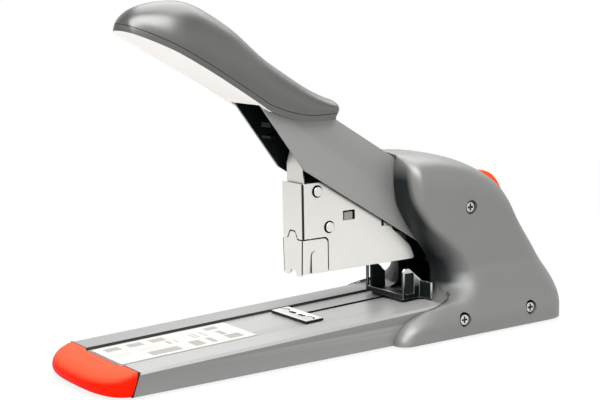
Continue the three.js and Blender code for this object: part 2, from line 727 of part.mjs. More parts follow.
const FOOT_SCREWS = [
  { name: 'front', y: HOUSING_FRONT + FRONT_SCREW_SETBACK, z: FOOT_SCREW_Z },
  { name: 'rear', y: HOUSING_REAR - REAR_SCREW_INSET, z: FOOT_SCREW_Z },
];
const UPPER_SCREW = {
  name: 'upper', y: HOUSING_FRONT + UPPER_SCREW_SETBACK, z: HOUSING_HEIGHT * UPPER_SCREW_SHARE,
};

function screwSeat(screw) {
  return housingHalfWidth(screw.z) - COUNTERBORE_DEPTH;
}

function screwEnd(screw) {
  return screw === UPPER_SCREW ? FRAME_INNER_WIDTH / 2 : BASE_WIDTH / 2 - 2 * BASE_SHEET;
}

function bossEnd(screw) {
  return screw === UPPER_SCREW
    ? FRAME_INNER_WIDTH / 2 + FRAME_PLATE + CLEARANCE
    : BASE_WIDTH / 2 + CLEARANCE;
}

function buttonFrame(solid) {
  return solid.rotate([-THREE.MathUtils.radToDeg(BUTTON_LEAN), 0, 0]).translate([0, BUTTON_Y, BUTTON_Z]);
}

function housing() {
  const outer = housingForm(0, 17, 30);
  const hollow = housingForm(HOUSING_WALL, 13, 24);
  const slotHalf = FRAME_INNER_WIDTH / 2 - CLEARANCE;
  const throatFloor = topOfBase(HOUSING_FRONT);
  const throatRear = HOUSING_FRONT + ROOF_SETBACK + HOUSING_CROWN;
  const roofUnderside = HOUSING_HEIGHT - 2 * HOUSING_WALL;
  const base = prism('x', [
    [HOUSING_FRONT - 2 * OVERRUN, -OVERRUN],
    [HOUSING_FRONT - 2 * OVERRUN, topOfBase(HOUSING_FRONT - 2 * OVERRUN) + CLEARANCE],
    [BASE_LENGTH + CLEARANCE, topOfBase(BASE_LENGTH) + CLEARANCE], [BASE_LENGTH + CLEARANCE, -OVERRUN],
  ], -BASE_WIDTH / 2 - CLEARANCE, BASE_WIDTH / 2 + CLEARANCE);
  const throat = prism('x', [
    [HOUSING_FRONT - 2 * OVERRUN, throatFloor], [throatRear, throatFloor],
    [throatRear, roofUnderside], [HOUSING_FRONT + ROOF_SETBACK, roofUnderside],
    [HOUSING_FRONT + ROOF_SETBACK, HOUSING_HEIGHT + OVERRUN],
    [HOUSING_FRONT - 2 * OVERRUN, HOUSING_HEIGHT + OVERRUN],
  ], -slotHalf, slotHalf);
  const window = buttonFrame(box(-BUTTON_WIDTH / 2 - CLEARANCE, BUTTON_WIDTH / 2 + CLEARANCE,
    -BUTTON_LENGTH / 2 - CLEARANCE, BUTTON_LENGTH / 2 + CLEARANCE, -BUTTON_SINK, OVERRUN));
  const shell = outer.subtract(hollow).subtract(base).subtract(throat);
  for (const [side, sign] of SIDES) {
    const keep = box(sign > 0 ? HALF_JOINT_GAP : -BASE_WIDTH, sign > 0 ? BASE_WIDTH : -HALF_JOINT_GAP,
      0, HOUSING_REAR + OVERRUN, -OVERRUN, HOUSING_HEIGHT + OVERRUN);
    let half = shell.intersect(keep);
    for (const screw of [...FOOT_SCREWS, UPPER_SCREW]) {
      const seat = screwSeat(screw);
      const boss = rod('x', screw.y, screw.z, BOSS_RADIUS, bossEnd(screw), seat + HOUSING_WALL / 2, 20);
      const bore = rod('x', screw.y, screw.z, SCREW_SHANK_RADIUS + CLEARANCE,
        bossEnd(screw) - OVERRUN, seat + OVERRUN, 16);
      const counterbore = rod('x', screw.y, screw.z, COUNTERBORE_RADIUS, seat, seat + OVERRUN, 24);
      half = half.add(mirrored(boss, sign)).subtract(mirrored(bore, sign));
      half = half.subtract(mirrored(counterbore, sign));
    }
    half = half.subtract(window);
    add(`housing_${side}`, largestPiece(half), 'shell');
    for (const screw of [...FOOT_SCREWS, UPPER_SCREW]) {
      add(`housing_screw_${screw.name}_${side}`, mirrored(panScrew(screw), sign), 'screw');
    }
  }
}

function largestPiece(solid) {
  return solid.decompose().reduce((a, b) => (a.volume() > b.volume() ? a : b));
}

function panScrew(screw) {
  const seat = screwSeat(screw);
  const shank = rod('x', screw.y, screw.z, SCREW_SHANK_RADIUS, screwEnd(screw), seat + CLEARANCE, 12);
  const head = rod('x', screw.y, screw.z, SCREW_HEAD_RADIUS, seat, seat + SCREW_HEAD_HEIGHT, 20);
  const slot = SCREW_HEAD_RADIUS / 5;
  const reach = SCREW_HEAD_RADIUS * 0.7;
  const deep = seat + SCREW_HEAD_HEIGHT / 3;
  const across = prism('x', rectangle(screw.y - reach, screw.y + reach, screw.z - slot, screw.z + slot),
    deep, deep + OVERRUN);
  const along = prism('x', rectangle(screw.y - slot, screw.y + slot, screw.z - reach, screw.z + reach),
    deep, deep + OVERRUN);
  return shank.add(head).subtract(across).subtract(along);
}

// Steel frame and axles

function frame() {
  const inner = FRAME_INNER_WIDTH / 2;
  const outer = inner + FRAME_PLATE;
  const front = UPPER_SCREW.y - FRAME_MARGIN * 1.5;
  const rear = BASE_LENGTH - CLEARANCE;
  const crest = UPPER_SCREW.z + FRAME_MARGIN;
  for (const [side, sign] of SIDES) {
    const outline = [
      [front, topOfBase(front)], [rear, topOfBase(rear)],
      [rear, MAGAZINE_AXLE_Z + FRAME_MARGIN], [LATCH_PIN_Y + FRAME_MARGIN, LATCH_PIN_Z - FRAME_MARGIN / 2],
      [LATCH_PIN_Y - FRAME_MARGIN / 2, LATCH_PIN_Z + FRAME_MARGIN],
      [UPPER_SCREW.y + FRAME_MARGIN, crest], [front + FRAME_MARGIN / 2, crest], [front, crest - FRAME_MARGIN],
    ];
    const holes = [
      circle(ARM_AXLE_Y, ARM_AXLE_Z, ARM_AXLE_RADIUS + CLEARANCE),
      circle(MAGAZINE_AXLE_Y, MAGAZINE_AXLE_Z, MAGAZINE_AXLE_RADIUS + CLEARANCE),
      circle(UPPER_SCREW.y, UPPER_SCREW.z, SCREW_SHANK_RADIUS + CLEARANCE, 12),
      circle(LATCH_PIN_Y, LATCH_PIN_Z, LATCH_PIN_RADIUS, 16),
    ];
    const plate = prism('x', outline, inner, outer, holes);
    const flange = onBase(outer - FRAME_PLATE / 2, outer + FRAME_FLANGE,
      front + FRAME_MARGIN, rear - FRAME_MARGIN, 0, FRAME_PLATE);
    add(`frame_${side}`, mirrored(plate.add(flange), sign), 'darkSteel');
    const bush = tube('x', ARM_AXLE_Y, ARM_AXLE_Z, BUSH_RADIUS, ARM_AXLE_RADIUS + CLEARANCE,
      ARM_WIDTH / 2 - ARM_SHEET - CLEARANCE - BUSH_LENGTH, ARM_WIDTH / 2 - ARM_SHEET - CLEARANCE);
    add(`arm_bush_${side}`, mirrored(bush, sign), 'steel');
  }
  const headFrom = outer + CLEARANCE;
  const headTo = headFrom + AXLE_HEAD_THICKNESS;
  const axle = (y, z, radius) => rod('x', y, z, radius, -headTo, headTo)
    .add(rod('x', y, z, radius + AXLE_HEAD_EXTRA, headFrom, headTo))
    .add(rod('x', y, z, radius + AXLE_HEAD_EXTRA, -headTo, -headFrom));
  add('arm_axle', axle(ARM_AXLE_Y, ARM_AXLE_Z, ARM_AXLE_RADIUS), 'steel');
  add('magazine_axle', axle(MAGAZINE_AXLE_Y, MAGAZINE_AXLE_Z, MAGAZINE_AXLE_RADIUS), 'steel');
}

// Lever: the arm channel, with a tongue that reaches up inside the grip

const RISE = Math.tan(ARM_RISE);
const edgeDrop = ARM_END_RADIUS / Math.cos(ARM_RISE);
const armTop = (y) => ARM_AXLE_Z + edgeDrop + (ARM_AXLE_Y - y) * RISE;
const armBottom = (y) => ARM_AXLE_Z - edgeDrop + (ARM_AXLE_Y - y) * RISE;

function armOutline() {
  const radius = ARM_END_RADIUS;
  const steps = 12;
  const end = Array.from({ length: steps + 1 }, (unused, k) => {
    const angle = -Math.PI / 2 - ARM_RISE + (Math.PI * k) / steps;
    return [ARM_AXLE_Y + radius * Math.cos(angle), ARM_AXLE_Z + radius * Math.sin(angle)];
  });
  const shoulder = ARM_TONGUE_FRONT + ARM_TONGUE_CHAMFER;
  return [
    [ARM_FRONT_LOW_Y, armBottom(ARM_FRONT_LOW_Y)], ...end,
    [shoulder, armTop(shoulder)],
    [ARM_TONGUE_FRONT, armTop(ARM_TONGUE_FRONT) - ARM_TONGUE_CHAMFER],
    [ARM_TONGUE_FRONT, ARM_TONGUE_LOW],
    [ARM_FRONT_HIGH_Y, ARM_FRONT_HIGH_Z + HANDLE_PAN_DEPTH],
    [ARM_FRONT_HIGH_Y, ARM_FRONT_HIGH_Z],
  ];
}

function armParts() {
  const half = ARM_WIDTH / 2;
  let arm = prism('x', armOutline(), -half, half);
  const inside = half - ARM_SHEET;
  const lift = ARM_SHEET / Math.cos(ARM_RISE);
  const bore = prism('x', [
    [ARM_TONGUE_FRONT - OVERRUN, armTop(ARM_TONGUE_FRONT - OVERRUN) - lift - OVERRUN],
    [ARM_TONGUE_FRONT - OVERRUN, armTop(ARM_TONGUE_FRONT - OVERRUN) - lift],
    [ARM_AXLE_Y + OVERRUN, armTop(ARM_AXLE_Y + OVERRUN) - lift],
    [ARM_AXLE_Y + OVERRUN, -OVERRUN], [ARM_FRONT_HIGH_Y, -OVERRUN],
  ], -inside, inside);
  arm = arm.subtract(bore);
  arm = arm.subtract(rod('x', ARM_AXLE_Y, ARM_AXLE_Z, ARM_AXLE_RADIUS + CLEARANCE,
    -half - OVERRUN, half + OVERRUN));
  add('arm_channel', largestPiece(arm), 'painted');
  add('driver_pin', rod('x', DRIVER_PIN_Y, DRIVER_PIN_Z, DRIVER_PIN_RADIUS, -inside, inside, 16), 'steel');
}

// Handle: the outline seen from the side, swelling out to full width below its crown

const HANDLE_TOP_SHARES = [
  [0, 0.81], [0.035, 0.893], [0.069, 0.948], [0.128, 0.987], [0.194, 1], [0.252, 0.997],
  [0.308, 0.968], [0.361, 0.922], [0.432, 0.842], [0.511, 0.738], [0.635, 0.538], [0.74, 0.403],
  [0.85, 0.27], [0.925, 0.198], [0.985, 0.148], [1, 0.075], [0.985, 0],
];
const HANDLE_BOTTOM_SHARES = [
  [0, 0.768], [0.057, 0.719], [0.15, 0.632], [0.238, 0.539], [0.333, 0.436], [0.461, 0.289],
  [0.563, 0.168], [0.604, 0.117], [0.663, 0.07], [0.741, 0.023], [0.819, -0.003], [0.905, -0.005],
  [0.985, 0],
];

const handleCurve = (shares) => curveThrough(
  scaled(shares, HANDLE_NOSE, HANDLE_REAR, HANDLE_LOW, HANDLE_HIGH));
const handleTop = handleCurve(HANDLE_TOP_SHARES);
const handleBottom = handleCurve(HANDLE_BOTTOM_SHARES);

// The crown's edge, moved forward at the nose, so that only the plan rounds the nose
const handleCrownEdge = handleTop.getPoints(120).map((point) => {
  const behind = THREE.MathUtils.clamp((point.x - HANDLE_NOSE) / HANDLE_NOSE_BLEND, 0, 1);
  return new THREE.Vector2(point.x - HANDLE_NOSE_BLUNTING * (1 - behind) ** 2, point.y);
});

// Rows of points stand closer together towards the nose
const NOSE_ROW_POWER = 1.4;

function handleHalfWidth(y) {
  const share = THREE.MathUtils.smoothstep(y, HANDLE_NOSE + HANDLE_WAIST_FROM, HANDLE_NOSE + HANDLE_WAIST_TO);
  return THREE.MathUtils.lerp(HANDLE_WIDTH, HANDLE_WAIST_WIDTH, share) / 2;
}

function handleForm(inset, columns, rows) {
  const grid = (i, j) => {
    const v = (j / (rows - 1)) ** NOSE_ROW_POWER;
    const u = (1 - Math.cos((Math.PI * i) / (columns - 1))) / 2;
    const low = handleBottom.getPoint(v);
    const high = handleTop.getPoint(v);
    const along = handleTop.getTangent(v);
    high.add(new THREE.Vector2(along.y, -along.x).multiplyScalar(inset));
    const point = low.clone().lerp(high, u);
    const depth = distanceToOutline(point, handleCrownEdge) - inset;
    const nose = swell(point.x - HANDLE_NOSE - inset, HANDLE_NOSE_ROUND, 2.45);
    const x = (handleHalfWidth(point.x) - inset) * swell(depth, HANDLE_CROWN, 2.6) * nose;
    return [i === columns - 1 ? 0 : x, point.x, point.y];
  };
  return symmetricSolid(columns, rows, grid);
}

function handleParts() {
  const whole = handleForm(0, 11, 34);
  const under = handleBottom.getPoints(26).map((point) => [point.x, point.y]);
  const lower = (rise) => under.map(([y, z]) => [y, z + rise]);
  const below = (rise) => prism('x', [
    [HANDLE_NOSE - OVERRUN, lower(rise)[0][1]], ...lower(rise),
    [HANDLE_REAR + OVERRUN, lower(rise).at(-1)[1]],
    [HANDLE_REAR + OVERRUN, HANDLE_LOW - 2 * OVERRUN], [HANDLE_NOSE - OVERRUN, HANDLE_LOW - 2 * OVERRUN],
  ], -HANDLE_WIDTH, HANDLE_WIDTH);
  const armHalf = ARM_WIDTH / 2 + CLEARANCE;
  const armSpace = prism('x', [
    [ARM_TONGUE_FRONT - CLEARANCE, ARM_TONGUE_LOW - CLEARANCE],
    [ARM_TONGUE_FRONT - CLEARANCE, armTop(ARM_TONGUE_FRONT) + CLEARANCE],
    [HANDLE_REAR + OVERRUN, armTop(HANDLE_REAR + OVERRUN) + CLEARANCE],
    [HANDLE_REAR + OVERRUN, HANDLE_LOW - OVERRUN], [ARM_FRONT_HIGH_Y - CLEARANCE, HANDLE_LOW - OVERRUN],
    [ARM_FRONT_HIGH_Y - CLEARANCE, ARM_FRONT_HIGH_Z + HANDLE_PAN_DEPTH - CLEARANCE],
  ], -armHalf, armHalf);
  const hollow = handleForm(HANDLE_WALL, 9, 26);
  const cover = whole.subtract(below(HANDLE_PAN_DEPTH + CLEARANCE))
    .subtract(hollow.subtract(below(HANDLE_PAN_DEPTH + CLEARANCE - OVERRUN)))
    .subtract(armSpace);
  add('handle_cover', largestPiece(cover), 'shell');
  const pan = whole.intersect(below(HANDLE_PAN_DEPTH)).subtract(armSpace);
  add('handle_pan', largestPiece(pan), 'pale');
}

// Head and magazine

const HEAD_PINS = [
  { name: 'upper', y: HEAD_FRONT + UPPER_PIN_SETBACK, z: UPPER_PIN_Z },
  { name: 'lower', y: HEAD_FRONT + LOWER_PIN_SETBACK, z: LOWER_PIN_Z },
];

function seamHump(z, room = 0) {
  const half = SEAM_HUMP_WIDTH / 2 + room;
  const foot = half + SEAM_HUMP_FLARE;
  const crest = z + SEAM_HUMP_HEIGHT;
  const round = SEAM_HUMP_ROUND;
  return [[-foot, z, round], [-half, crest, round], [half, crest, round], [foot, z, round]];
}

function noseCasing() {
  const half = HEAD_WIDTH / 2;
  const rear = HEAD_FRONT + NOSE_LENGTH;
  const top = SEAM_HEIGHT;
  const side = rounded([
    [HEAD_FRONT, HEAD_BOTTOM - NOSE_CHIN], [HEAD_FRONT, top], [rear, top, NOSE_SIDE_ROUND],
    [rear, HEAD_BOTTOM], [HEAD_FRONT + PLATE, HEAD_BOTTOM],
  ]);
  const wrap = prism('x', side, -half, half);
  const inside = box(-half + PLATE, half - PLATE, HEAD_FRONT + PLATE, rear + OVERRUN,
    HEAD_BOTTOM - OVERRUN, top + OVERRUN);
  const flat = SEAM_HUMP_WIDTH / 2 + 2 * SEAM_HUMP_FLARE;
  const hump = prism('y', rounded([
    [-flat, top - PLATE], [-flat, top], ...seamHump(top), [flat, top], [flat, top - PLATE],
  ]), HEAD_FRONT, HEAD_FRONT + PLATE);
  const notchHalf = NOTCH_WIDTH / 2;
  const notch = prism('y', rounded([
    [-notchHalf, HEAD_BOTTOM - OVERRUN], [-notchHalf, HEAD_BOTTOM + NOTCH_HEIGHT, NOTCH_ROUND],
    [notchHalf, HEAD_BOTTOM + NOTCH_HEIGHT, NOTCH_ROUND], [notchHalf, HEAD_BOTTOM - OVERRUN],
  ], 3), HEAD_FRONT - OVERRUN, HEAD_FRONT + PLATE + CLEARANCE);
  let nose = wrap.subtract(inside).add(hump).subtract(notch);
  for (const sign of [1, -1]) {
    const outside = sign * (half + OVERRUN);
    const tapered = sign * (half - NOSE_TAPER / 2);
    const taper = prism('y', [
      [sign * half, top], [outside, top], [outside, HEAD_BOTTOM - OVERRUN],
      [tapered, HEAD_BOTTOM - OVERRUN], [tapered, HEAD_BOTTOM - NOSE_CHIN],
    ], HEAD_FRONT - OVERRUN, HEAD_FRONT + NOSE_LENGTH / 2);
    nose = nose.subtract(taper);
  }
  return nose;
}

const TAIL_SHARES = [[0.957, 0.158], [0.785, 0.384], [0.785, 0.428], [0.688, 0.428], [0.688, 0.504]];

function magazineParts() {
  const half = HEAD_WIDTH / 2;
  const inner = half - PLATE;
  add('nose_casing', noseCasing(), 'plating');

  const plateBottom = SEAM_HEIGHT + SEAM_GAP;
  const hump = seamHump(plateBottom, SEAM_GAP);
  const frontPlate = prism('y', rounded([
    [-half, plateBottom], ...hump, [half, plateBottom], [half, HEAD_TOP], [-half, HEAD_TOP],
  ]), HEAD_FRONT, HEAD_FRONT + PLATE);
  add('head_front_plate', frontPlate, 'plating');

  const sideFront = HEAD_FRONT + PLATE + CLEARANCE;
  const portFront = HEAD_FRONT + PORT_SETBACK;
  const cutRear = HEAD_FRONT + NOSE_LENGTH + SEAM_GAP;
  const tail = scaled(TAIL_SHARES, sideFront, MAGAZINE_REAR, HEAD_BOTTOM, HEAD_TOP);
  const sideOutline = rounded([
    [sideFront, plateBottom], [cutRear, plateBottom, NOSE_SIDE_ROUND], [cutRear, HEAD_BOTTOM],
    [MAGAZINE_REAR, HEAD_BOTTOM, PLATE], ...tail.map(([y, z], i) => [y, z, i === 0 ? TAIL_ROUND : 0]),
    [HEAD_FRONT + HEAD_ROOF_LENGTH, HEAD_TOP], [sideFront, HEAD_TOP, PLATE],
  ]);
  for (const [side, sign] of SIDES) {
    let plate = prism('x', sideOutline, inner, half);
    for (const pin of HEAD_PINS) {
      plate = plate.subtract(rod('x', pin.y, pin.z, HEAD_PIN_HOLE_RADIUS, 0, half + OVERRUN));
    }
    const port = rectangle(portFront, portFront + PORT_LENGTH, PORT_BOTTOM, PORT_BOTTOM + PORT_HEIGHT);
    plate = plate.subtract(prism('x', port, 0, half + OVERRUN));
    add(`magazine_side_${side}`, mirrored(plate, sign), 'plating');
  }
  for (const pin of HEAD_PINS) {
    add(`head_pin_${pin.name}`, rod('x', pin.y, pin.z, HEAD_PIN_RADIUS, -half - HEAD_PIN_PROUD,
      half + HEAD_PIN_PROUD, 20), 'plating');
  }
  driverParts();
  railParts(inner);
  carrierParts(inner);
}

function driverParts() {
  const half = DRIVER_WIDTH / 2;
  const neck = DRIVER_NECK_WIDTH / 2;
  const rear = DRIVER_FRONT + DRIVER_THICKNESS;
  const slotRadius = DRIVER_PIN_RADIUS + 2 * CLEARANCE;
  const slotEndY = DRIVER_PIN_Y - DRIVER_SLOT_LENGTH;
  const slotEndZ = DRIVER_PIN_Z - DRIVER_SLOT_FALL;
  const wall = slotRadius + FORK_WALL;
  const crest = DRIVER_PIN_Z + wall;
  const blade = prism('y', [
    [-half, DRIVER_BOTTOM], [half, DRIVER_BOTTOM], [half, DRIVER_SHOULDER],
    [neck, DRIVER_SHOULDER + half], [neck, crest], [-neck, crest],
    [-neck, DRIVER_SHOULDER + half], [-half, DRIVER_SHOULDER],
  ], DRIVER_FRONT, rear);
  const fork = prism('x', [
    [slotEndY, slotEndZ - wall], [rear, DRIVER_PIN_Z - wall], [rear, crest], [slotEndY, crest],
  ], -neck, neck);
  const slot = prism('x', slotOutline(slotEndY - DRIVER_SLOT_LENGTH, slotEndZ - DRIVER_SLOT_FALL,
    DRIVER_PIN_Y, DRIVER_PIN_Z, slotRadius), -DRIVER_WIDTH, DRIVER_WIDTH);
  add('driver_blade', blade.add(fork).subtract(slot), 'plating');
  const guideFront = rear + 2 * CLEARANCE;
  add('driver_guide', box(-half + CLEARANCE, half - CLEARANCE, guideFront, guideFront + GUIDE_THICKNESS,
    RAIL_TOP + CLEARANCE, HEAD_TOP), 'darkSteel');
}

function railParts(inner) {
  const half = RAIL_WIDTH / 2;
  const front = DRIVER_FRONT + DRIVER_THICKNESS + 2 * CLEARANCE;
  const floorTop = HEAD_BOTTOM + RAIL_SHEET + CLEARANCE;
  const flange = inner - CLEARANCE;
  const section = [
    [-flange, HEAD_BOTTOM + CLEARANCE], [-half + RAIL_SHEET, HEAD_BOTTOM + CLEARANCE],
    [-half + RAIL_SHEET, RAIL_TOP - RAIL_SHEET], [half - RAIL_SHEET, RAIL_TOP - RAIL_SHEET],
    [half - RAIL_SHEET, HEAD_BOTTOM + CLEARANCE], [flange, HEAD_BOTTOM + CLEARANCE],
    [flange, floorTop], [half, floorTop], [half, RAIL_TOP], [-half, RAIL_TOP],
    [-half, floorTop], [-flange, floorTop],
  ];
  add('staple_rail', prism('y', section, front, RAIL_REAR), 'steel');

  const outer = inner - CLEARANCE;
  const straddle = half + CLEARANCE;
  const saddle = RAIL_TOP + CLEARANCE;
  const pusherRear = PUSHER_FRONT + PUSHER_LENGTH;
  const pusher = prism('y', [
    [-outer, RAIL_TOP - PUSHER_LENGTH / 2], [-straddle, RAIL_TOP - PUSHER_LENGTH / 2], [-straddle, saddle],
    [straddle, saddle], [straddle, RAIL_TOP - PUSHER_LENGTH / 2], [outer, RAIL_TOP - PUSHER_LENGTH / 2],
    [outer, PUSHER_TOP - PUSHER_CHAMFER], [outer - PUSHER_CHAMFER, PUSHER_TOP],
    [-outer + PUSHER_CHAMFER, PUSHER_TOP], [-outer, PUSHER_TOP - PUSHER_CHAMFER],
  ], PUSHER_FRONT, pusherRear, [circle(0, PUSHER_ROD_Z, PUSHER_ROD_RADIUS + CLEARANCE, 16)]);
  add('pusher', pusher, 'black');
  const rodFront = front + GUIDE_THICKNESS;
  const bracketFront = PUSHER_ROD_REAR - 2 * PLATE;
  add('pusher_rod', rod('y', 0, PUSHER_ROD_Z, PUSHER_ROD_RADIUS, rodFront, PUSHER_ROD_REAR, 16), 'steel');
  add('pusher_spring', tube('y', 0, PUSHER_ROD_Z, PUSHER_SPRING_RADIUS, PUSHER_ROD_RADIUS + CLEARANCE,
    pusherRear + CLEARANCE, bracketFront - CLEARANCE, 16), 'steel');
  const bracketHalf = outer - CARRIER_SHEET;
  const bracket = rectangle(-bracketHalf, bracketHalf, RAIL_TOP + CLEARANCE, RAIL_TOP + BRACKET_HEIGHT);
  add('rod_bracket', prism('y', bracket, bracketFront, bracketFront + PLATE,
    [circle(0, PUSHER_ROD_Z, PUSHER_ROD_RADIUS, 16)]), 'darkSteel');
}

const CARRIER_SHELF_SHARE = 0.72;

function carrierParts(inner) {
  const outer = inner - CLEARANCE;
  const eye = CARRIER_EYE_RADIUS;
  const back = MAGAZINE_AXLE_Y;
  const low = MAGAZINE_AXLE_Z;
  const steps = 12;
  const end = Array.from({ length: steps + 1 }, (unused, k) => {
    const angle = -Math.PI / 2 + (Math.PI * k) / steps;
    return [back + eye * Math.cos(angle), low + eye * Math.sin(angle)];
  });
  const front = MAGAZINE_REAR - CARRIER_LAP;
  const shelf = low + eye * CARRIER_SHELF_SHARE;
  const neck = ARM_AXLE_Y - BUSH_RADIUS - CLEARANCE;
  const elbow = MAGAZINE_REAR + BRIDGE_SETBACK / 2;
  const outline = [
    [front, RAIL_TOP + PLATE], [MAGAZINE_REAR, RAIL_TOP + PLATE], [MAGAZINE_REAR + BRIDGE_LENGTH, shelf],
    [neck, shelf - CARRIER_DEPTH], ...end, [ARM_AXLE_Y + ARM_AXLE_RADIUS, shelf], [neck, shelf],
    [elbow, RAIL_TOP + PLATE], [MAGAZINE_REAR - CARRIER_DEPTH, RAIL_TOP + PLATE + CARRIER_DEPTH],
    [front, RAIL_TOP + PLATE + CARRIER_DEPTH],
  ];
  const hole = circle(back, low, MAGAZINE_AXLE_RADIUS + CLEARANCE);
  for (const [side, sign] of SIDES) {
    const plate = prism('x', outline, outer - CARRIER_SHEET, outer, [hole]);
    add(`carrier_${side}`, mirrored(plate, sign), 'darkSteel');
  }
  const bridgeHalf = outer - CARRIER_SHEET - CLEARANCE;
  const bridgeFront = MAGAZINE_REAR + BRIDGE_SETBACK;
  const bridgeLow = low + BRIDGE_LIFT;
  add('carrier_bridge', box(-bridgeHalf, bridgeHalf, bridgeFront, bridgeFront + BRIDGE_LENGTH,
    bridgeLow, bridgeLow + BRIDGE_HEIGHT), 'darkSteel');
  const springY = bridgeFront + BRIDGE_LENGTH / 2;
  const springRadius = bridgeHalf - CLEARANCE;
  add('return_spring', tube('z', 0, springY, springRadius, springRadius - SPRING_SHEET,
    floorOfRecess(springY + springRadius) + CLEARANCE, bridgeLow - CLEARANCE, 20), 'steel');
}

// Release button with its spring and the latch that it works

const BUTTON_CROWN_SHARES = [
  [1, 0.68], [0.86, 0.85], [0.735, 0.95], [0.63, 0.99], [0.53, 1], [0.43, 0.955], [0.33, 0.86],
  [0.2, 0.63], [0.1, 0.38], [0, 0.07],
];

function buttonParts() {
  const half = BUTTON_WIDTH / 2;
  const reach = BUTTON_LENGTH / 2;
  const crown = scaled(BUTTON_CROWN_SHARES, -reach, reach, 0, BUTTON_PROUD);
  const key = prism('x', [
    [-reach, -BUTTON_SKIRT], [-BUTTON_STEM_RISE, -BUTTON_SKIRT], [-BUTTON_STEM_RISE, -BUTTON_SINK],
    [BUTTON_STEM_FALL, -BUTTON_SINK], [BUTTON_STEM_FALL, -BUTTON_SKIRT], [reach, -BUTTON_SKIRT], ...crown,
  ], -half, half);
  add('release_button', buttonFrame(key), 'orange');

  const hub = circle(LATCH_PIN_Y, LATCH_PIN_Z, LATCH_HUB_RADIUS);
  const bore = circle(LATCH_PIN_Y, LATCH_PIN_Z, LATCH_PIN_RADIUS + CLEARANCE, 16);
  const wide = LATCH_WIDTH / 2;
  const upper = prism('x', slotOutline(LATCH_PIN_Y - LATCH_TIP_REACH, LATCH_PIN_Z + LATCH_TIP_RISE,
    LATCH_PIN_Y, LATCH_PIN_Z, LATCH_TIP_RADIUS), -wide, wide);
  const lower = prism('x', slotOutline(LATCH_PIN_Y, LATCH_PIN_Z, LATCH_PIN_Y + LATCH_TAIL_REACH,
    LATCH_PIN_Z - LATCH_TAIL_DROP, LATCH_TAIL_RADIUS), -wide, wide);
  const lever = prism('x', hub, -wide, wide).add(upper).add(lower)
    .subtract(prism('x', bore, -OVERRUN, OVERRUN));
  add('latch_lever', lever, 'darkSteel');
  const pinEnd = FRAME_INNER_WIDTH / 2 + FRAME_PLATE;
  add('latch_pin', rod('x', LATCH_PIN_Y, LATCH_PIN_Z, LATCH_PIN_RADIUS, -pinEnd, pinEnd, 16), 'steel');
  add('latch_spring', tube('x', LATCH_PIN_Y, LATCH_PIN_Z, LATCH_HUB_RADIUS - CLEARANCE * 2,
    LATCH_PIN_RADIUS, wide + CLEARANCE, pinEnd - FRAME_PLATE - CLEARANCE, 16), 'steel');
}

baseParts();
paperStop();
housing();
frame();
armParts();
handleParts();
magazineParts();
buttonParts();

export default stapler;
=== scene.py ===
# %% [markdown]
# A heavy-duty desk stapler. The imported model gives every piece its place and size, and this
# script gives the pieces their finishes, their finer shapes, the light and the camera.

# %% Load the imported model
import json
import math

import bmesh
import bpy
import numpy
from mathutils import Matrix, Vector

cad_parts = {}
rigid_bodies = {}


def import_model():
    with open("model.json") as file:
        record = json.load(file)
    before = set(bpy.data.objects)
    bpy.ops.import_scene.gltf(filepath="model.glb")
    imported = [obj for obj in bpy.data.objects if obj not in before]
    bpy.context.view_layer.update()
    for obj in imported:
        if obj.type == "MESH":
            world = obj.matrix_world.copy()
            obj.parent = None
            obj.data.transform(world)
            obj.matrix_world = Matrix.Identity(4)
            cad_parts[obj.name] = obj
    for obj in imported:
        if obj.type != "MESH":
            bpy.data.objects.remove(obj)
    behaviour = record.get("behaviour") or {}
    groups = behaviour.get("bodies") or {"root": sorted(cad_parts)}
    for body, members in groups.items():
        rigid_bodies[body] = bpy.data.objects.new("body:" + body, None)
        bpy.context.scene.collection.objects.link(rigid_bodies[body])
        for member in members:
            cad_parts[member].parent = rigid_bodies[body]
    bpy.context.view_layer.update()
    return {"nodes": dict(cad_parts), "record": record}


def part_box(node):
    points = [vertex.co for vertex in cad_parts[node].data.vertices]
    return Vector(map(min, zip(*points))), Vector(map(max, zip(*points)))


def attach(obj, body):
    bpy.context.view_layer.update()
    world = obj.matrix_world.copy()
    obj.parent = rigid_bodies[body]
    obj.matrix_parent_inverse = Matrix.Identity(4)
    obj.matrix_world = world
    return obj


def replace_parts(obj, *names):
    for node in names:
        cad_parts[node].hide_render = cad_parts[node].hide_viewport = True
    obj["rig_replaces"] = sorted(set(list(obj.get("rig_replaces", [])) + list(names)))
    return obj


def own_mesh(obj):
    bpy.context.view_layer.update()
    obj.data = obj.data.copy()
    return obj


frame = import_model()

nodes = frame["nodes"]
MM = 0.001
print("pieces in the packed model:", len(nodes))

# %% [markdown]
# The photograph was taken from the front right, a little above the desk, with a long lens.
# The camera's place was solved from the straight edges of the base, so it is set as a matrix:
# its columns are the picture's right, the picture's up and the direction back to the viewer.

# %% Camera
PICTURE_WIDTH_PX = 600
FOCAL_LENGTH_PX = 1416.59
FILM_WIDTH_MM = 36
AZIMUTH = math.radians(55.83)
PITCH = math.radians(8.84)
ROLL = math.radians(-1.0)
VIEWPOINT_MM = (577.65, -402.21, 182.39)


def view_matrix(azimuth, pitch, roll, place):
    ahead = Vector((-math.sin(azimuth) * math.cos(pitch),
                    math.cos(azimuth) * math.cos(pitch), -math.sin(pitch)))
    level = ahead.cross(Vector((0, 0, 1))).normalized()
    upright = level.cross(ahead)
    right = math.cos(roll) * level + math.sin(roll) * upright
    up = math.cos(roll) * upright - math.sin(roll) * level
    turn = Matrix((right, up, -ahead)).transposed().to_4x4()
    return Matrix.Translation(place) @ turn


